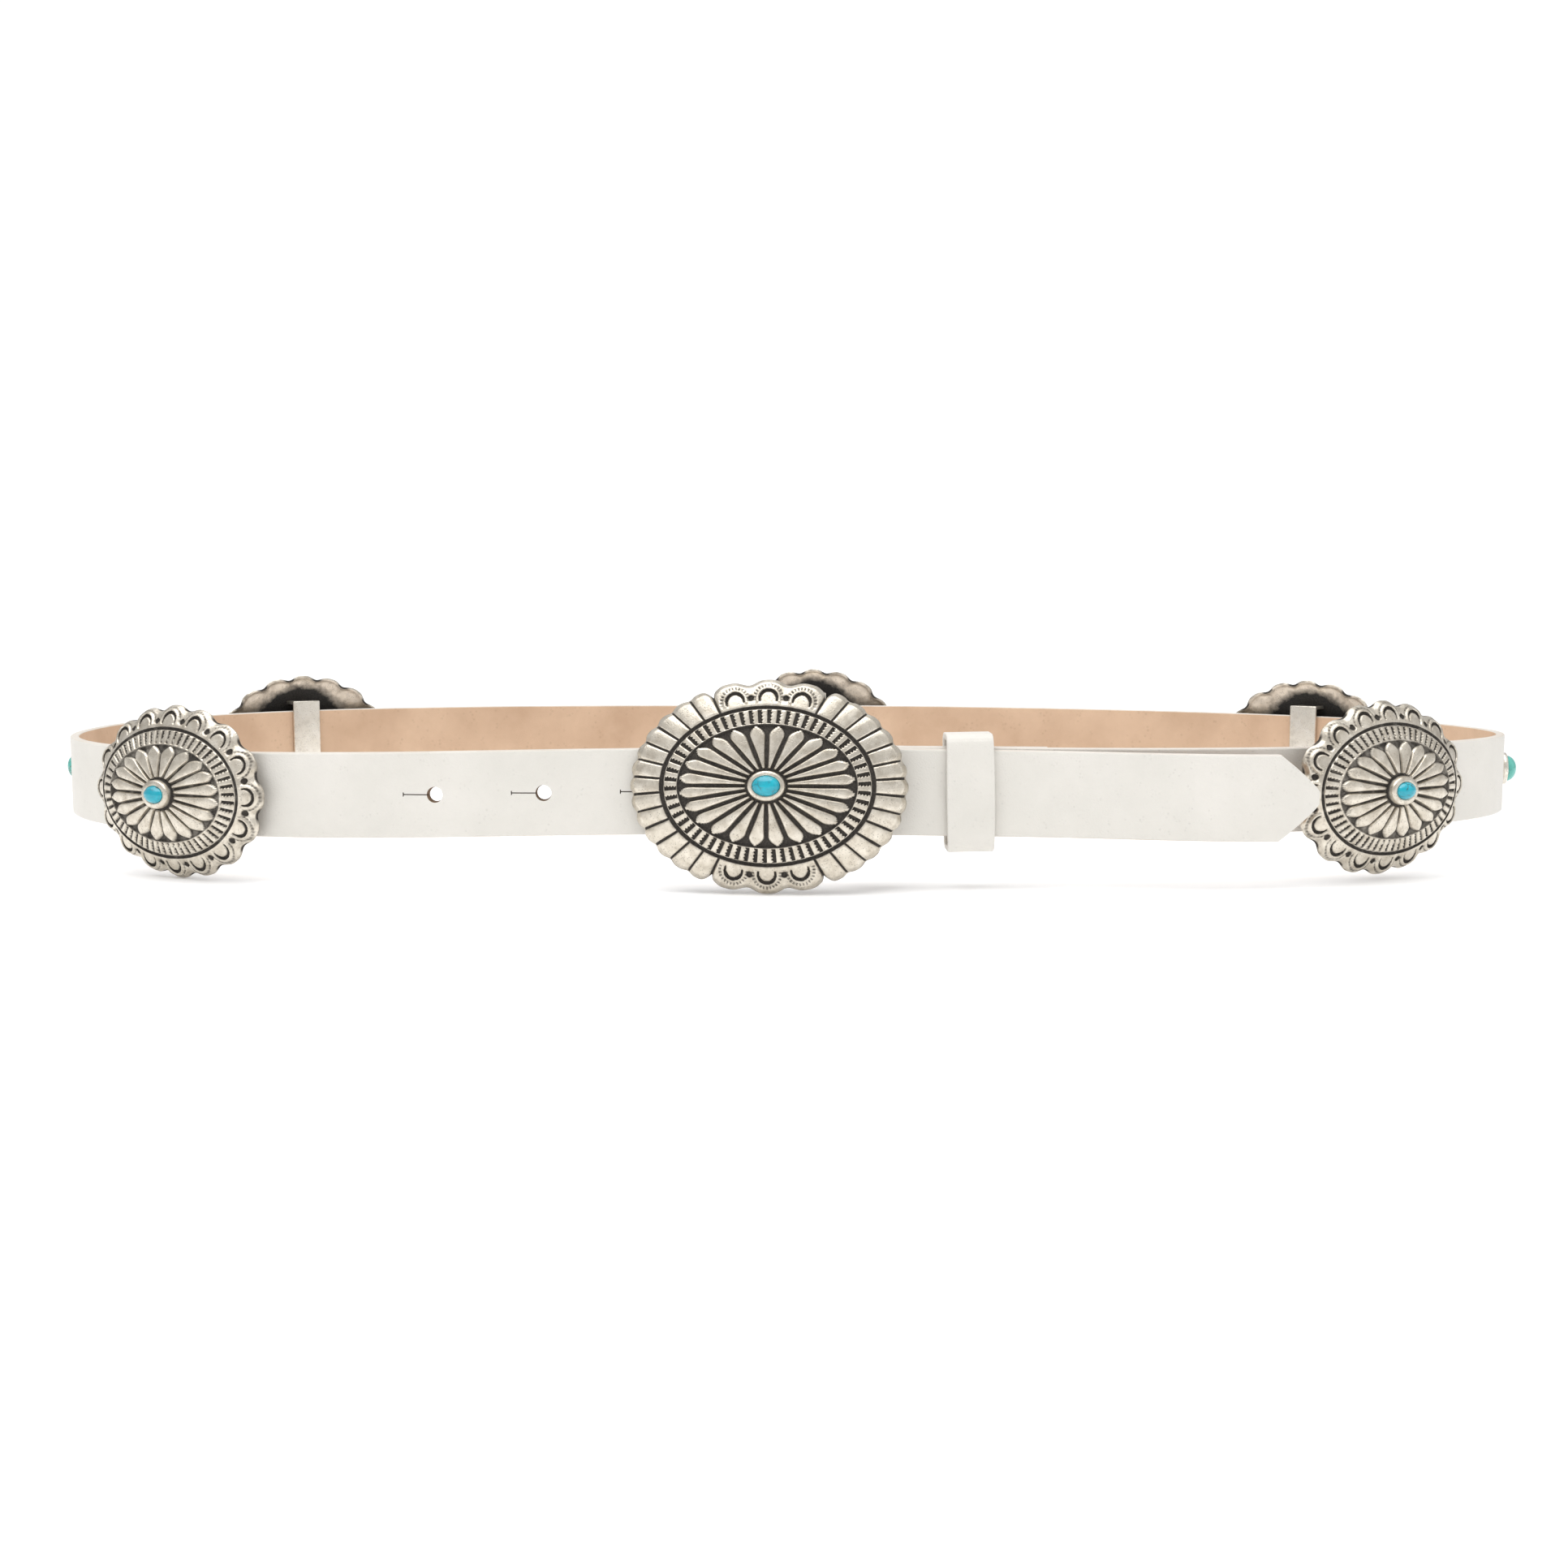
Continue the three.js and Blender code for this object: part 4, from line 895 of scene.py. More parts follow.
def plate_rings(spec):
    """Rings of a plate's skin from its stone's seat over the rim to the hollow's middle."""
    sides, dome = spec["sides"], spec["dome"]
    angle = np.arange(sides) * TURN / sides
    half = np.array([spec["width"], spec["height"]]) / 2
    pulled, lobe = notch_at(spec["even"](angle), spec["runs"])
    rings, dark = bezel_rings(spec, angle)
    zones = spec["zones"]
    for at, (zone, across, up, count) in enumerate(zones):
        last = at + 1 == len(zones)
        q = np.arange(count + last)[:, None] / count
        start = np.array([across, up])
        end = half * RIM_INSET if last else np.array(zones[at + 1][1:3])
        pull = pulled if last else np.zeros(sides)
        axes = [start[axis] + q * (end[axis] * (1 - pull) - start[axis]) for axis in (0, 1)]
        x, y = axes[0] * np.cos(angle), axes[1] * np.sin(angle)
        plain = [start[axis] + q * (end[axis] - start[axis]) for axis in (0, 1)]
        share = (plain[0] / half[0] + plain[1] / half[1]) / 2
        base = front_height(dome, share)
        speed = np.hypot(axes[0] * np.sin(angle), axes[1] * np.cos(angle))

        def pitch_of(sector):
            return speed * sector

        if zone == "foot":
            height, tone = -FOOT_DEPTH, 0.95
        elif zone == "petals":
            reach = np.hypot((end[0] - start[0]) * np.cos(angle),
                             (end[1] - start[1]) * np.sin(angle))
            height, tone = petal_relief(q, angle, spec["petals"], pitch_of(TURN / spec["petals"]),
                                        reach, spec["point"], spec["fill"], spec["open_tone"])
        elif zone == "field":
            height, tone = -RECESS, spec["open_tone"]
        elif zone == "ladder":
            middle = (start + end) / 2
            arc = arc_share(middle, angle)
            way = TURN * np.sqrt((middle[0] ** 2 + middle[1] ** 2) / 2) / spec["marks"]
            height, tone = ladder_relief(q, arc, spec["marks"], way)
        elif zone == "groove":
            sunk = smooth(0, 0.3, q) * (1 - smooth(0.62, 1.0, q))
            height, tone = -GROOVE_DEPTH * sunk, np.clip(sunk * spec["groove_tone"], 0, 1)
        else:
            height, tone = border_relief(spec, q, x, y, angle[None, :], pitch_of)
            rounding = RIM_ROUNDING * smooth(0.86, 1, q) ** 2
            height = height * (1 - smooth(0.93, 1, q)) - rounding
        level, tone = np.broadcast_to(base + height, x.shape), np.broadcast_to(tone, x.shape)
        rings += list(np.stack([x, y, level], -1))
        dark += list(tone * (spec["border_patina"] if last else spec["patina_and_shade"]))
    # The rim's side, then the hollow back with its lobes pressed through
    reach = 1 - pulled
    edge_dark = 0.24 + 0.4 * smooth(0.25, 0.9, pulled / pulled.max())
    lobed = np.sin(math.pi * lobe) ** 0.7
    for grow, rise in RIM_SIDE:
        rings.append(np.stack([half[0] * grow * reach * np.cos(angle),
                               half[1] * grow * reach * np.sin(angle),
                               np.full(sides, rise)], -1))
        dark.append(edge_dark)
    back_start = len(rings) - 1
    for share in HOLLOW_RINGS:
        pull = 1 - pulled * smooth(0.84, 1, share)
        pressed = smooth(0.86, 0.93, share) * (1 - smooth(0.94, 0.975, share))
        wall = max(0, front_height(dome, share) - PLATE_WALL)
        rough = np.sin(angle * 37 + 9 * share) * np.sin(angle * 23 - 31 * share)
        rough = np.maximum(CASTING_ROUGHNESS * rough, -0.02)
        rings.append(np.stack([half[0] * share * pull * np.cos(angle),
                               half[1] * share * pull * np.sin(angle),
                               wall + LOBE_PRESS * pressed * lobed + rough], -1))
        # Painted shade: the hollow back darkens towards its middle, reaching further out at the
        # top and bottom, for the shade deep in the concave casting; partly it is the casting's own
        # dark back
        hollow_shade_from = 0.48 + 0.16 * np.sin(angle) ** 6
        dark.append(0.06 + 0.94 * (1 - smooth(hollow_shade_from, hollow_shade_from + 0.34, share)))
    return np.stack(rings), np.stack(dark), back_start


def plate_skin(spec):
    rings, dark, back_start = plate_rings(spec)
    points, faces = skin_of(rings)
    count = rings.shape[1]
    indexes = np.zeros(len(faces), int)
    indexes[back_start * count:(rings.shape[0] - 1) * count] = 1
    indexes[-count:] = 1
    patina_and_shade = np.concatenate([dark.reshape(-1), [1, dark[-1].mean()]])
    return points, faces, indexes, patina_and_shade


CONCHO_SKIN = plate_skin(CONCHO)
BUCKLE_SKIN = plate_skin(BUCKLE)


def dress(piece, slot, *nodes):
    """Gives a finished piece its body and hides the imported nodes that it stands for. Its slot is
    not used.
    """
    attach(piece, "root")
    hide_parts(*nodes)
    return piece


def cabochon_points(width, height, rise, girdle, sides=72):
    """A polished dome on a short upright girdle with a softened foot."""
    around = np.linspace(math.pi / 2, 0, 14)[1:-1]
    profile = [(math.cos(angle) ** 0.92, girdle + rise * math.sin(angle)) for angle in around]
    profile += [(1, girdle), (1, 0.12), (0.97, 0.03), (0.9, 0)]
    return turned([(radius / 2, level) for radius, level in profile], sides, width, height)


def add_stone(node, sizes, girdle, matrix, floor, material, slot):
    """A cabochon, by its width, height and dome, on the floor of its seat."""
    points, faces = cabochon_points(*sizes, girdle)
    points = moved(matrix, points + np.array([0, 0, floor]))
    stone = mesh_of(node + "_polished", points, faces, [material])
    dress(new_object(stone.name, stone), slot, node)


def add_plate_stone(node, spec, matrix):
    grow = -2 * spec["inset"]
    floor = front_height(spec["dome"], SEAT_SHARE) + spec["bezel"] - BEZEL_DEPTH + FIT_GAP
    add_stone(node, (STONE_WIDTH + grow, STONE_HEIGHT + grow, STONE_DOME),
              BEZEL_DEPTH - FIT_GAP, matrix, floor, TURQUOISE, "turquoise")


def add_turned(node, profile, sides, matrix, tone):
    points, faces = turned(profile, sides)
    mesh = mesh_of(node + "_turned", moved(matrix, points), faces, [PLAIN_SILVER],
                   patina_and_shade=np.full(len(points), tone))
    dress(new_object(mesh.name, mesh), "cast_silver", node)


def strap_frame(station, offset):
    """The frame of a fitting that is set into the leather's main layer."""
    point, forward, _ = beside_loop(station, offset)
    return plate_frame(point, forward, float(strap_middle(station)))


PLATE_MATERIALS = [CAST_SILVER, CAST_BACK, PLAIN_SILVER]
FITTING = 2
FITTING_TONE = 0.1
LOOP_BAR_TONE = 0.12
LOOP_BAR_EDGE_RADIUS = 0.28


def make_concho(name):
    place = CONCHO_PLACES[name]
    half_pitches, slide, turn_degrees = place[:3]
    station = station_of(half_pitches, slide)
    turn = math.radians(turn_degrees)
    point, forward, outward = beside_loop(station, rim_offset(*place))
    node = f"concho_{name}"
    low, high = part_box(node)
    matrix = plate_frame(point, forward, (low.z + high.z) / 2 / MM, turn)
    points, faces, indexes, patina_and_shade = CONCHO_SKIN
    parts = Parts()
    parts.add(points, faces, indexes, patina_and_shade)
    # The loop bar passes close behind the leather
    half = LOOP_BAR_WIDTH / 2
    reach = np.array([-half, 0, half])
    leather = beside_loop(station + reach, np.full(3, -HALF_LEATHER))[0] - point
    bar_top = (leather @ rotated(outward, turn)).min() - FIT_GAP
    bar_base = bar_top - LOOP_BAR_THICKNESS
    inside = STRAP_WIDTH / 2 + LOOP_BAR_HEADROOM
    outside = inside + LOOP_BAR_THICKNESS
    leg_top = front_height(CONCHO_DOME, inside / CONCHO_MIDDLE) - PLATE_WALL / 2
    # The legs' faces lie just under the bar's, so that no two faces share a plane
    narrow, near, leg_base = half - SOLDER_STEP, outside - SOLDER_STEP, bar_base + SOLDER_STEP
    blocks = [((-half, -outside, bar_base), (half, outside, bar_top)),
              ((-narrow, inside, leg_base), (narrow, near, leg_top)),
              ((-narrow, -near, leg_base), (narrow, -inside, leg_top))]
    for corner, opposite in blocks:
        parts.add(*rounded_box(corner, opposite, LOOP_BAR_EDGE_RADIUS), FITTING, LOOP_BAR_TONE)
    mesh = parts.mesh(node + "_cast", PLATE_MATERIALS, matrix)
    dress(new_object(mesh.name, mesh), "cast_silver", node)
    add_plate_stone(f"stone_{name}", CONCHO, matrix)


BAIL_BEND = 0.6 * BAIL_WIRE
# The middle of the stud's line lies this far off it, so that the wire finds its plane
STUD_NUDGE = 1e-4


def make_buckle():
    half_width = BUCKLE_WIDTH / 2
    left = outer_offset_at(-half_width) + HALF_LEATHER + FIT_GAP
    left += STRAP_WIDTH / 2 * math.sin(BUCKLE_LEAN)
    point, forward, _ = beside_loop(0.0, left + half_width * math.sin(BUCKLE_SWING))
    points, faces, indexes, patina_and_shade = BUCKLE_SKIN
    matrix = plate_frame(point, forward, -points[:, 1].min() * math.cos(BUCKLE_LEAN),
                         -BUCKLE_SWING, -BUCKLE_LEAN)
    inverse = matrix.inverted()
    parts = Parts()
    parts.add(points, faces, indexes, patina_and_shade)

    def beside(station, offset, height):
        at = beside_loop(station, offset)[0]
        return np.array([at[0], at[1], height]) + ORIGIN

    def own(points):
        return moved(inverse, points)

    def under_plate(x, y):
        share = math.hypot(x / half_width, y / (BUCKLE_HEIGHT / 2))
        return np.array([x, y, front_height(BUCKLE_DOME, share) - PLATE_WALL / 2])

    # The bail is one bent wire
    middle = float(strap_middle(BAIL_STATION))
    leg = STRAP_WIDTH / 2 + BAIL_SIDE_CLEARANCE + BAIL_WIRE / 2
    ends = [own(beside(BAIL_STATION, -TURN_RADIUS, middle + side * leg)) for side in (1, -1)]
    feet = [under_plate(end[0], end[1]) for end in ends]
    path = [feet[0]]
    for corner, before, after in ((ends[0], feet[0], ends[1]), (ends[1], ends[0], feet[1])):
        start = corner + (before - corner) / np.linalg.norm(before - corner) * BAIL_BEND
        end = corner + (after - corner) / np.linalg.norm(after - corner) * BAIL_BEND
        path += [start + (corner - start) * 2 * t * (1 - t) + (end - start) * t * t
                 for t in np.linspace(0, 1, 7)]
    path.append(feet[1])
    parts.add(*wire(path, BAIL_WIRE), FITTING, FITTING_TONE)

    # The stud goes through the buckled hole, from its head behind the leather to the plate
    stud_middle = float(outer_middle(STUD_STATION))
    inner = float(outer_offset_at(STUD_STATION)) - HALF_LEATHER - FIT_GAP
    neck = beside(STUD_STATION, inner - STUD_HEAD_HEIGHT / 2, stud_middle)
    seat = own(neck)
    top = moved(matrix, under_plate(seat[0], seat[1]))
    top[[0, 2]] = neck[[0, 2]]
    shank, faces = wire([neck, (neck + top) / 2 + [0, 0, STUD_NUDGE], top], STUD_DIAMETER)
    parts.add(own(shank), faces, FITTING, FITTING_TONE)
    radius, tall = STUD_HEAD_DIAMETER / 2, STUD_HEAD_HEIGHT
    head, faces = turned([(0.4 * radius, 0), (radius - 0.25, 0), (radius, -0.25),
                          (radius, -tall + 0.45), (radius - 0.3, -tall + 0.12),
                          (0.5 * radius, -tall)], 40)
    to_head = plate_frame(*beside_loop(STUD_STATION, inner)[:2], stud_middle)
    parts.add(own(moved(to_head, head)), faces, FITTING, FITTING_TONE)
    mesh = parts.mesh("buckle_cast", PLATE_MATERIALS, matrix)
    dress(new_object(mesh.name, mesh), "cast_silver", "buckle_plate")
    add_plate_stone("buckle_stone", BUCKLE, matrix)


def make_spot(name):
    seat = SPOT_STONE_DIAMETER / 2 + FIT_GAP
    cup, shank = seat + SPOT_CUP_WALL, SPOT_SHANK / 2
    floor, rim, end = SPOT_CUP_FLOOR, SPOT_CUP_HEIGHT, -SPOT_SHANK_LENGTH
    profile = [(0.4 * seat, floor), (seat, floor), (seat, rim - 0.12), (seat + 0.12, rim),
               (cup - 0.14, rim), (cup, rim - 0.16), (cup, 0.2), (cup - 0.18, 0.0), (shank, 0.0),
               (shank, end + 0.15), (shank - 0.2, end)]
    matrix = strap_frame(station_of(*SPOT_PLACES[name]), HALF_LEATHER + FIT_GAP)
    add_turned(f"spot_cup_{name}", profile, 64, matrix, 0.15)
    add_stone(f"spot_stone_{name}", (SPOT_STONE_DIAMETER, SPOT_STONE_DIAMETER, SPOT_STONE_DOME),
              rim - floor - FIT_GAP, matrix, floor + FIT_GAP, GREEN_TURQUOISE, "green_turquoise")


def make_rivet():
    inside = FOLD_OFFSET - HALF_LEATHER - FIT_GAP
    outside = HALF_LEATHER + FIT_GAP
    head, shank, tall = RIVET_HEAD_DIAMETER / 2, RIVET_SHANK / 2, RIVET_HEAD_HEIGHT
    profile = [(head * 0.5, outside + tall), (head - 0.15, outside + tall), (head, outside + 0.2),
               (head, outside), (shank, outside), (shank, inside), (head, inside),
               (head, inside - 0.3 * tall), (head * 0.93, inside - 0.9 * tall),
               (head * 0.75, inside - 1.5 * tall), (head * 0.45, inside - 1.9 * tall)]
    add_turned("fold_rivet", profile, 48, strap_frame(RIVET_STATION, 0.0), FITTING_TONE)


# Leather by Geometry Nodes

GEOMETRY = "NodeSocketGeometry"
MATERIAL = "NodeSocketMaterial"


def named_attribute(tree, name, kind="FLOAT"):
    return tree.add("GeometryNodeInputNamedAttribute", name, data_type=kind).outputs[0]


# The strap's finishes, in the order of the number that each face carries through the punch
FINISHES = ("Edge", "Face", "Back", "Raw")
FACE, BACK, RAW = 1.0, 2.0, 3.0
FACE_LEAN = 0.8
PUNCH_REACH = 1.3
HOLE_FLARE = 0.07
SLIT_DEPTH = 0.75
TICK_LENGTH = 4.0


def make_band_tree():
    """A leather band swept along a path and punched at the path's loose points."""
    tree, given, made = new_group("punched leather band", "GeometryNodeTree", [
        ("Path", GEOMETRY, None), ("Thickness", FLOAT, 0.0022), ("Width", FLOAT, 0.02),
        ("Edge Radius", FLOAT, 0.0005), ("Hole Diameter", FLOAT, 0.0035),
        ("Slit Length", FLOAT, 0.0056), ("Slit Width", FLOAT, 0.0002),
        *((finish, MATERIAL, None) for finish in FINISHES),
    ], [("Band", GEOMETRY)])
    get = given.outputs
    outward = named_attribute(tree, "outward", "FLOAT_VECTOR")
    along = named_attribute(tree, "along", "FLOAT_VECTOR")
    # The sweep, with its section narrowed where the path says so
    path = tree.add("GeometryNodeMeshToCurve", get["Path"])
    upright = tree.add("GeometryNodeSetCurveNormal", path, mode="Z_UP")
    section = tree.add("GeometryNodeCurvePrimitiveQuadrilateral", get["Thickness"], get["Width"])
    soft = tree.add("GeometryNodeFilletCurve", mode="POLY", sockets={
        "Curve": section, "Radius": get["Edge Radius"], "Count": 3})
    sweep = tree.add("GeometryNodeCurveToMesh", sockets={
        "Curve": upright, "Profile Curve": soft, "Fill Caps": True})
    place = tree.add("ShaderNodeSeparateXYZ", tree.add("GeometryNodeInputPosition"))
    rise = tree.math("SUBTRACT", place.outputs[2], named_attribute(tree, "middle"))
    grow = tree.math("SUBTRACT", named_attribute(tree, "share"), 1.0)
    band = tree.add("GeometryNodeSetPosition", sockets={
        "Geometry": sweep, "Offset": tree.vector(0.0, 0.0, tree.math("MULTIPLY", rise, grow))})
    looks = tree.add("ShaderNodeVectorMath", tree.add("GeometryNodeInputNormal"), outward,
                     operation="DOT_PRODUCT").outputs["Value"]
    face = tree.math("MULTIPLY", tree.math("GREATER_THAN", looks, FACE_LEAN), FACE)
    back = tree.math("MULTIPLY", tree.math("LESS_THAN", looks, -FACE_LEAN), BACK)
    punched = tree.add("GeometryNodeStoreNamedAttribute", domain="FACE", sockets={
        "Geometry": band, "Name": "finish", "Value": tree.math("ADD", face, back)})
    # The punch: a hole wider in front, a slit beside it and a short cross cut at the slit's end
    through = tree.math("MULTIPLY", get["Thickness"], PUNCH_REACH)
    radius = tree.math("DIVIDE", get["Hole Diameter"], 2.0)
    cone = tree.add("GeometryNodeMeshCone", sockets={
        "Vertices": 40, "Radius Top": tree.math("MULTIPLY", radius, 1 + HOLE_FLARE),
        "Radius Bottom": tree.math("MULTIPLY", radius, 1 - HOLE_FLARE), "Depth": through})
    hole = tree.add("GeometryNodeTransform", sockets={
        "Geometry": cone,
        "Translation": tree.vector(0.0, 0.0, tree.math("DIVIDE", through, -2.0))})
    lift = tree.math("MULTIPLY", get["Thickness"], 1 - SLIT_DEPTH)

    def blade(length, width, at):
        cube = tree.add("GeometryNodeMeshCube", tree.vector(length, width, get["Thickness"]))
        return tree.add("GeometryNodeTransform", sockets={
            "Geometry": cube, "Translation": tree.vector(at, 0.0, lift)})

    reach = tree.math("ADD", get["Slit Length"], get["Hole Diameter"])
    slit_at = tree.math("DIVIDE", reach, -2.0)
    tick_at = tree.math("SUBTRACT", slit_at, tree.math("DIVIDE", get["Slit Length"], 2.0))
    tick_length = tree.math("MULTIPLY", get["Slit Width"], TICK_LENGTH)
    marked = tree.math("COMPARE", named_attribute(tree, "punch"), 1.0, 0.1)
    points = tree.add("GeometryNodeMeshToPoints", sockets={
        "Mesh": get["Path"], "Selection": marked})
    facing = tree.add("FunctionNodeAxesToRotation", outward, along,
                      primary_axis="Z", secondary_axis="X")
    for tool in (hole, blade(get["Slit Length"], get["Slit Width"], slit_at),
                 blade(get["Slit Width"], tick_length, tick_at)):
        spread = tree.add("GeometryNodeInstanceOnPoints", sockets={
            "Points": points, "Instance": tool, "Rotation": facing})
        cutter = tree.add("GeometryNodeStoreNamedAttribute", domain="FACE", sockets={
            "Geometry": tree.add("GeometryNodeRealizeInstances", spread), "Name": "finish",
            "Value": RAW})
        punched = tree.add("GeometryNodeMeshBoolean", operation="DIFFERENCE", solver="EXACT",
                           sockets={"Mesh 1": punched, "Mesh 2": cutter})
    finished = tree.add("GeometryNodeRealizeInstances", punched)
    for number, finish in enumerate(FINISHES):
        chosen = tree.math("COMPARE", named_attribute(tree, "finish"), float(number), 0.1)
        finished = tree.add("GeometryNodeSetMaterial", sockets={
            "Geometry": finished, "Selection": chosen, "Material": get[finish]})
    tree.feed(made.inputs[0], finished)
    return tree.tree


def make_keeper_tree():
    """A leather band swept round a rounded upright opening."""
    tree, given, made = new_group("leather keeper", "GeometryNodeTree", [
        ("Start", GEOMETRY, None), ("Depth", FLOAT, 0.01), ("Height", FLOAT, 0.02),
        ("Corner", FLOAT, 0.002), ("Wall", FLOAT, 0.0015), ("Band Width", FLOAT, 0.0115),
        ("Face", MATERIAL, None),
    ], [("Band", GEOMETRY)])
    get = given.outputs
    course = tree.add("GeometryNodeCurvePrimitiveQuadrilateral", get["Depth"], get["Height"])
    rounded = tree.add("GeometryNodeFilletCurve", mode="POLY", sockets={
        "Curve": course, "Radius": get["Corner"], "Count": 8})
    fine = tree.add("GeometryNodeResampleCurve", mode="LENGTH", sockets={
        "Curve": rounded, "Length": 0.0006})
    section = tree.add("GeometryNodeCurvePrimitiveQuadrilateral", get["Wall"], get["Band Width"])
    soft = tree.add("GeometryNodeFilletCurve", mode="POLY", sockets={
        "Curve": section, "Radius": tree.math("MULTIPLY", get["Wall"], 0.22), "Count": 3})
    sweep = tree.add("GeometryNodeCurveToMesh", sockets={"Curve": fine, "Profile Curve": soft})
    tree.feed(made.inputs[0], tree.add("GeometryNodeSetMaterial", sockets={
        "Geometry": tree.add("GeometryNodeRealizeInstances", sweep), "Material": get["Face"]}))
    return tree.tree


def grown(name, start, group, **values):
    """Runs a Geometry Nodes tree on a start mesh and keeps its result as a plain mesh."""
    piece = new_object(name, start)
    modifier = piece.modifiers.new("grow", "NODES")
    modifier.node_group = group
    sockets = {item.name: item.identifier for item in group.interface.items_tree
               if item.in_out == "INPUT"}
    for label, value in values.items():
        modifier[sockets[label.replace("_", " ")]] = value
    bpy.context.view_layer.update()
    evaluated = piece.evaluated_get(bpy.context.evaluated_depsgraph_get())
    mesh = bpy.data.meshes.new_from_object(evaluated)
    piece.modifiers.clear()
    piece.data = mesh
    mesh.name = name
    return piece


STRAP_SHARP_ANGLE = math.radians(12)
KEEPER_SHARP_ANGLE = math.radians(14)


def finish_leather(piece, sharp_angle, node):
    piece.data.shade_smooth()
    piece.data.set_sharp_from_angle(angle=sharp_angle)
    dress(piece, "white_leather", node)


def half_height_share(station):
    """The strap's narrowing over its pointed tip, as a share of its width."""
    share = np.clip((TIP_STATION - np.asarray(station)) / TIP_LENGTH, 0, 1)
    blunt = TIP_BLUNT_HEIGHT / STRAP_WIDTH
    return blunt + (1 - blunt) * share ** 0.85


def strap_path():
    """Points, leather middles and narrowing from the folded end round the loop to the tip."""
    rows = []

    def add(stations, offsets, middles, share=None):
        points = beside_loop(stations, offsets)[0]
        share = np.ones(len(stations)) if share is None else share
        rows.append(np.column_stack([points, middles, share]))

    def steps(start, end, longest):
        return np.linspace(start, end, math.ceil(abs(end - start) / longest) + 1)

    fold = steps(FOLD_END_STATION, BAIL_STATION + LEATHER_THICKNESS, STRAP_STEP)
    add(fold, fold_offset_at(fold), strap_middle(fold))
    bar, forward, outward = beside_loop(BAIL_STATION, -TURN_RADIUS)
    middle = float(strap_middle(BAIL_STATION))
    for angle in np.linspace(-math.pi / 2, math.pi / 2, 21):
        turn = outward * TURN_RADIUS * math.sin(angle) - forward * TURN_RADIUS * math.cos(angle)
        rows.append(np.array([[*(bar + turn), middle, 1]]))
    main = steps(BAIL_STATION + 2 * LEATHER_THICKNESS, LOOP_LENGTH + OVERLAP_START, STRAP_STEP)
    add(main, np.zeros(len(main)), strap_middle(main))
    outer = steps(OVERLAP_START + STRAP_STEP, TIP_STATION - TIP_LENGTH, STRAP_STEP)
    add(outer, outer_offset_at(outer), outer_middle(outer))
    tip = steps(TIP_STATION - TIP_LENGTH, TIP_STATION, 0.5)[1:]
    add(tip, outer_offset_at(tip), outer_middle(tip), half_height_share(tip))
    return np.concatenate(rows)


def make_strap():
    rows = strap_path()
    points = rows[:, :3]
    along = np.gradient(points[:, :2], axis=0)
    along /= np.linalg.norm(along, axis=1, keepdims=True)
    stations = STUD_STATION + HOLE_PITCH * np.arange(-HOLES_BEFORE_STUD, HOLES_AFTER_STUD + 1)
    offsets = np.where(stations > OVERLAP_START, outer_offset_at(stations), 0)
    at, hole_along, _ = beside_loop(stations, offsets)
    holes = np.column_stack([at, outer_middle(stations)])
    everything = np.concatenate([points, holes]) + ORIGIN
    mesh = bpy.data.meshes.new("strap_leather")
    mesh.from_pydata((everything * MM).tolist(),
                     [(k, k + 1) for k in range(len(points) - 1)], [])
    x, y = np.concatenate([along, hole_along]).T
    level = np.zeros(len(x))
    fields = {
        "middle": everything[:, 2] * MM,
        "share": np.concatenate([rows[:, 3], np.ones(len(holes))]),
        "punch": np.repeat([0.0, 1.0], [len(points), len(holes)]),
        "along": np.column_stack([x, y, level]),
        "outward": np.column_stack([y, -x, level]),
    }
    for name, values in fields.items():
        kind, key = ("FLOAT", "value") if values.ndim == 1 else ("FLOAT_VECTOR", "vector")
        layer = mesh.attributes.new(name, kind, "POINT")
        layer.data.foreach_set(key, values.astype(np.float32).reshape(-1))
    strap = grown("strap_leather", mesh, make_band_tree(),
                  Thickness=LEATHER_THICKNESS * MM, Width=STRAP_WIDTH * MM,
                  Edge_Radius=LEATHER_EDGE_RADIUS * MM, Hole_Diameter=HOLE_DIAMETER * MM,
                  Slit_Length=SLIT_LENGTH * MM, Slit_Width=SLIT_WIDTH * MM,
                  Face=WHITE_LEATHER, Back=TAN_BACK, Edge=WHITE_EDGE, Raw=RAW_EDGE)
    for name in (*fields, "finish"):
        strap.data.attributes.remove(strap.data.attributes[name])
    finish_leather(strap, STRAP_SHARP_ANGLE, "strap")


KEEPER_BULGE = 0.35
KEEPER_SPREAD = 0.03
KEEPER_INNER_CORNER = 1


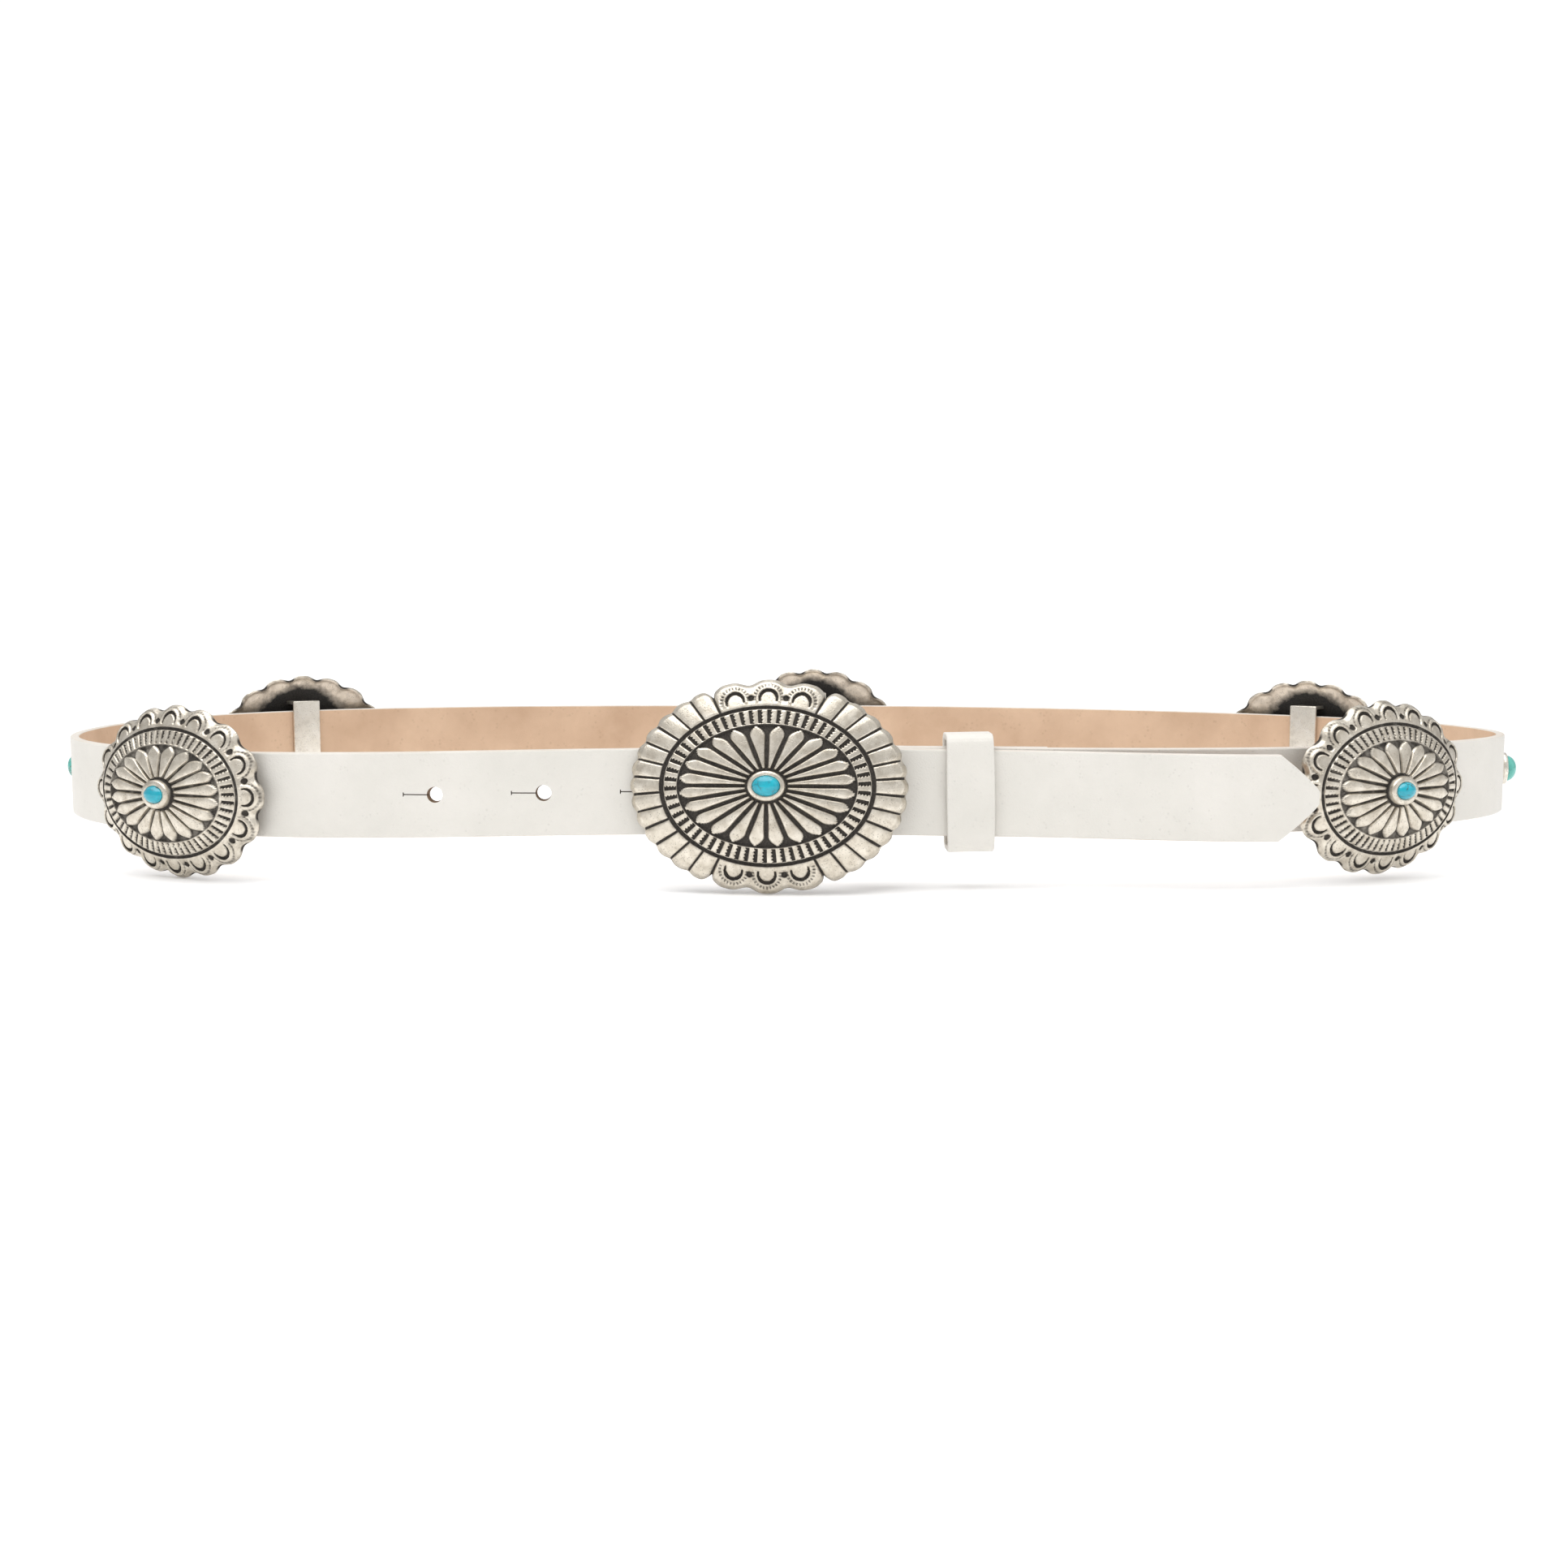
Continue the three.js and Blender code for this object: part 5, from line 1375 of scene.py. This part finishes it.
def make_keeper():
    inner = FOLD_OFFSET - HALF_LEATHER - FIT_GAP
    outer = float(outer_offset_at(KEEPER_STATION)) + HALF_LEATHER + FIT_GAP
    tall = STRAP_WIDTH + 2 * KEEPER_HEADROOM
    keeper = grown("keeper_leather", bpy.data.meshes.new("keeper_leather"), make_keeper_tree(),
                   Depth=(outer - inner + KEEPER_WALL) * MM, Height=(tall + KEEPER_WALL) * MM,
                   Corner=(KEEPER_INNER_CORNER + KEEPER_WALL / 2) * MM, Wall=KEEPER_WALL * MM,
                   Band_Width=KEEPER_WIDTH * MM, Face=WHITE_LEATHER)
    mesh = keeper.data
    points = np.zeros(len(mesh.vertices) * 3)
    mesh.vertices.foreach_get("co", points)
    # The sweep lies in its own x (offset) and y (height), with the belt's direction along z
    offset, height, along = (points.reshape(-1, 3) / MM).T
    crown = np.clip(1 - (height / (tall / 2)) ** 2, 0, 1) * (offset > 0)
    along = -along * (1 + KEEPER_SPREAD * crown)
    offset = offset + (inner + outer) / 2 + KEEPER_BULGE * crown
    tilt = np.array(Matrix.Rotation(-KEEPER_SLANT, 3, "Y"))
    home = np.array([*on_loop(KEEPER_STATION), outer_middle(KEEPER_STATION)]) + ORIGIN
    made = (np.column_stack([along, -offset, height]) @ tilt.T + home) * MM
    mesh.vertices.foreach_set("co", made.reshape(-1))
    mesh.update()
    finish_leather(keeper, KEEPER_SHARP_ANGLE, "keeper")


make_strap()
make_keeper()
make_rivet()
make_buckle()
for concho in CONCHO_PLACES:
    make_concho(concho)
for spot in SPOT_PLACES:
    make_spot(spot)


# The setting: a pale floor, soft light and the camera at the photograph's place

FLOOR_REACH = 30000
# The floor lies this far under the feet, in metres
FLOOR_DROP = 0.0001


def make_floor():
    points = np.array([(-1, -1, 0), (1, -1, 0), (1, 1, 0), (-1, 1, 0)]) * FLOOR_REACH
    material, tree, shader = new_material("pale floor", Roughness=0.9, Specular_IOR_Level=0.1,
                                          Emission_Color=(1, 1, 1, 1), Emission_Strength=0.12)
    mottle = placed(tree, MOTTLE, Patches_Per_Metre=2.0, Dark=(0.93, 0.93, 0.93, 1),
                    Light=(0.95, 0.95, 0.95, 1))
    tree.feed(shader.inputs["Base Color"], mottle.outputs["Color"])
    floor = new_object("pale_floor", mesh_of("pale_floor", points, [(0, 1, 2, 3)], [material]))
    floor.location.z = -FLOOR_DROP


def add_light(name, kind, power, **settings):
    lamp = bpy.data.lights.new(name, kind)
    lamp.energy = power
    for key, value in settings.items():
        setattr(lamp, key, value)
    return new_object(name, lamp)


def make_soft_light(name, place, size, power):
    """A round soft light, in metres, that looks at the middle of the belt."""
    light = add_light(name, "AREA", power, shape="DISK", size=size)
    light.location = place
    light.rotation_euler = (-Vector(place)).to_track_quat("-Z", "Y").to_euler()


def make_sun():
    """Even light from above, so that the floor is white up to the horizon."""
    light = add_light("even_top_light", "SUN", 1.5, angle=math.radians(70))
    light.rotation_euler = (math.radians(4), math.radians(-8), 0)


def make_world():
    world = bpy.data.worlds.new("soft studio")
    bpy.context.scene.world = world
    world.use_nodes = True
    tree = Tree(world.node_tree)
    seen = world.node_tree.nodes["Background"]
    seen.inputs["Color"].default_value = (1, 1, 1, 1)
    seen.inputs["Strength"].default_value = 1.05
    lit = tree.add("ShaderNodeBackground", (0.98, 0.985, 1, 1), 0.6)
    to_camera = tree.add("ShaderNodeLightPath").outputs["Is Camera Ray"]
    mixed = tree.add("ShaderNodeMixShader", to_camera, lit, seen)
    tree.feed(world.node_tree.nodes["World Output"].inputs["Surface"], mixed)


CAMERA_X = 1.41
CAMERA_Y = -420.9
CAMERA_HEIGHT = 66.35
CAMERA_PITCH = math.radians(5.76)
CAMERA_YAW = math.radians(0.28)
FOCAL_PIXELS = 2272.3
PHOTO_PIXELS = 1932


def make_camera():
    data = bpy.data.cameras.new("camera")
    data.sensor_width = 36
    data.lens = FOCAL_PIXELS / PHOTO_PIXELS * data.sensor_width
    data.clip_start = 0.01
    data.clip_end = 200
    camera = bpy.data.objects.new("camera", data)
    camera.location = Vector((CAMERA_X, CAMERA_Y, CAMERA_HEIGHT)) * MM + Vector(ORIGIN) * MM
    camera.rotation_euler = (math.pi / 2 - CAMERA_PITCH, 0, -CAMERA_YAW)
    bpy.context.collection.objects.link(camera)
    bpy.context.scene.camera = camera


make_floor()
make_world()
make_sun()
make_soft_light("overhead_light", (-0.1, -0.25, 1.25), 1.3, 6)
make_soft_light("left_light", (-0.8, -1.2, 0.8), 1.2, 0.9)
make_soft_light("right_light", (1.2, -0.6, 0.8), 1.2, 1.4)
make_camera()
bpy.context.scene.view_settings.view_transform = "Standard"
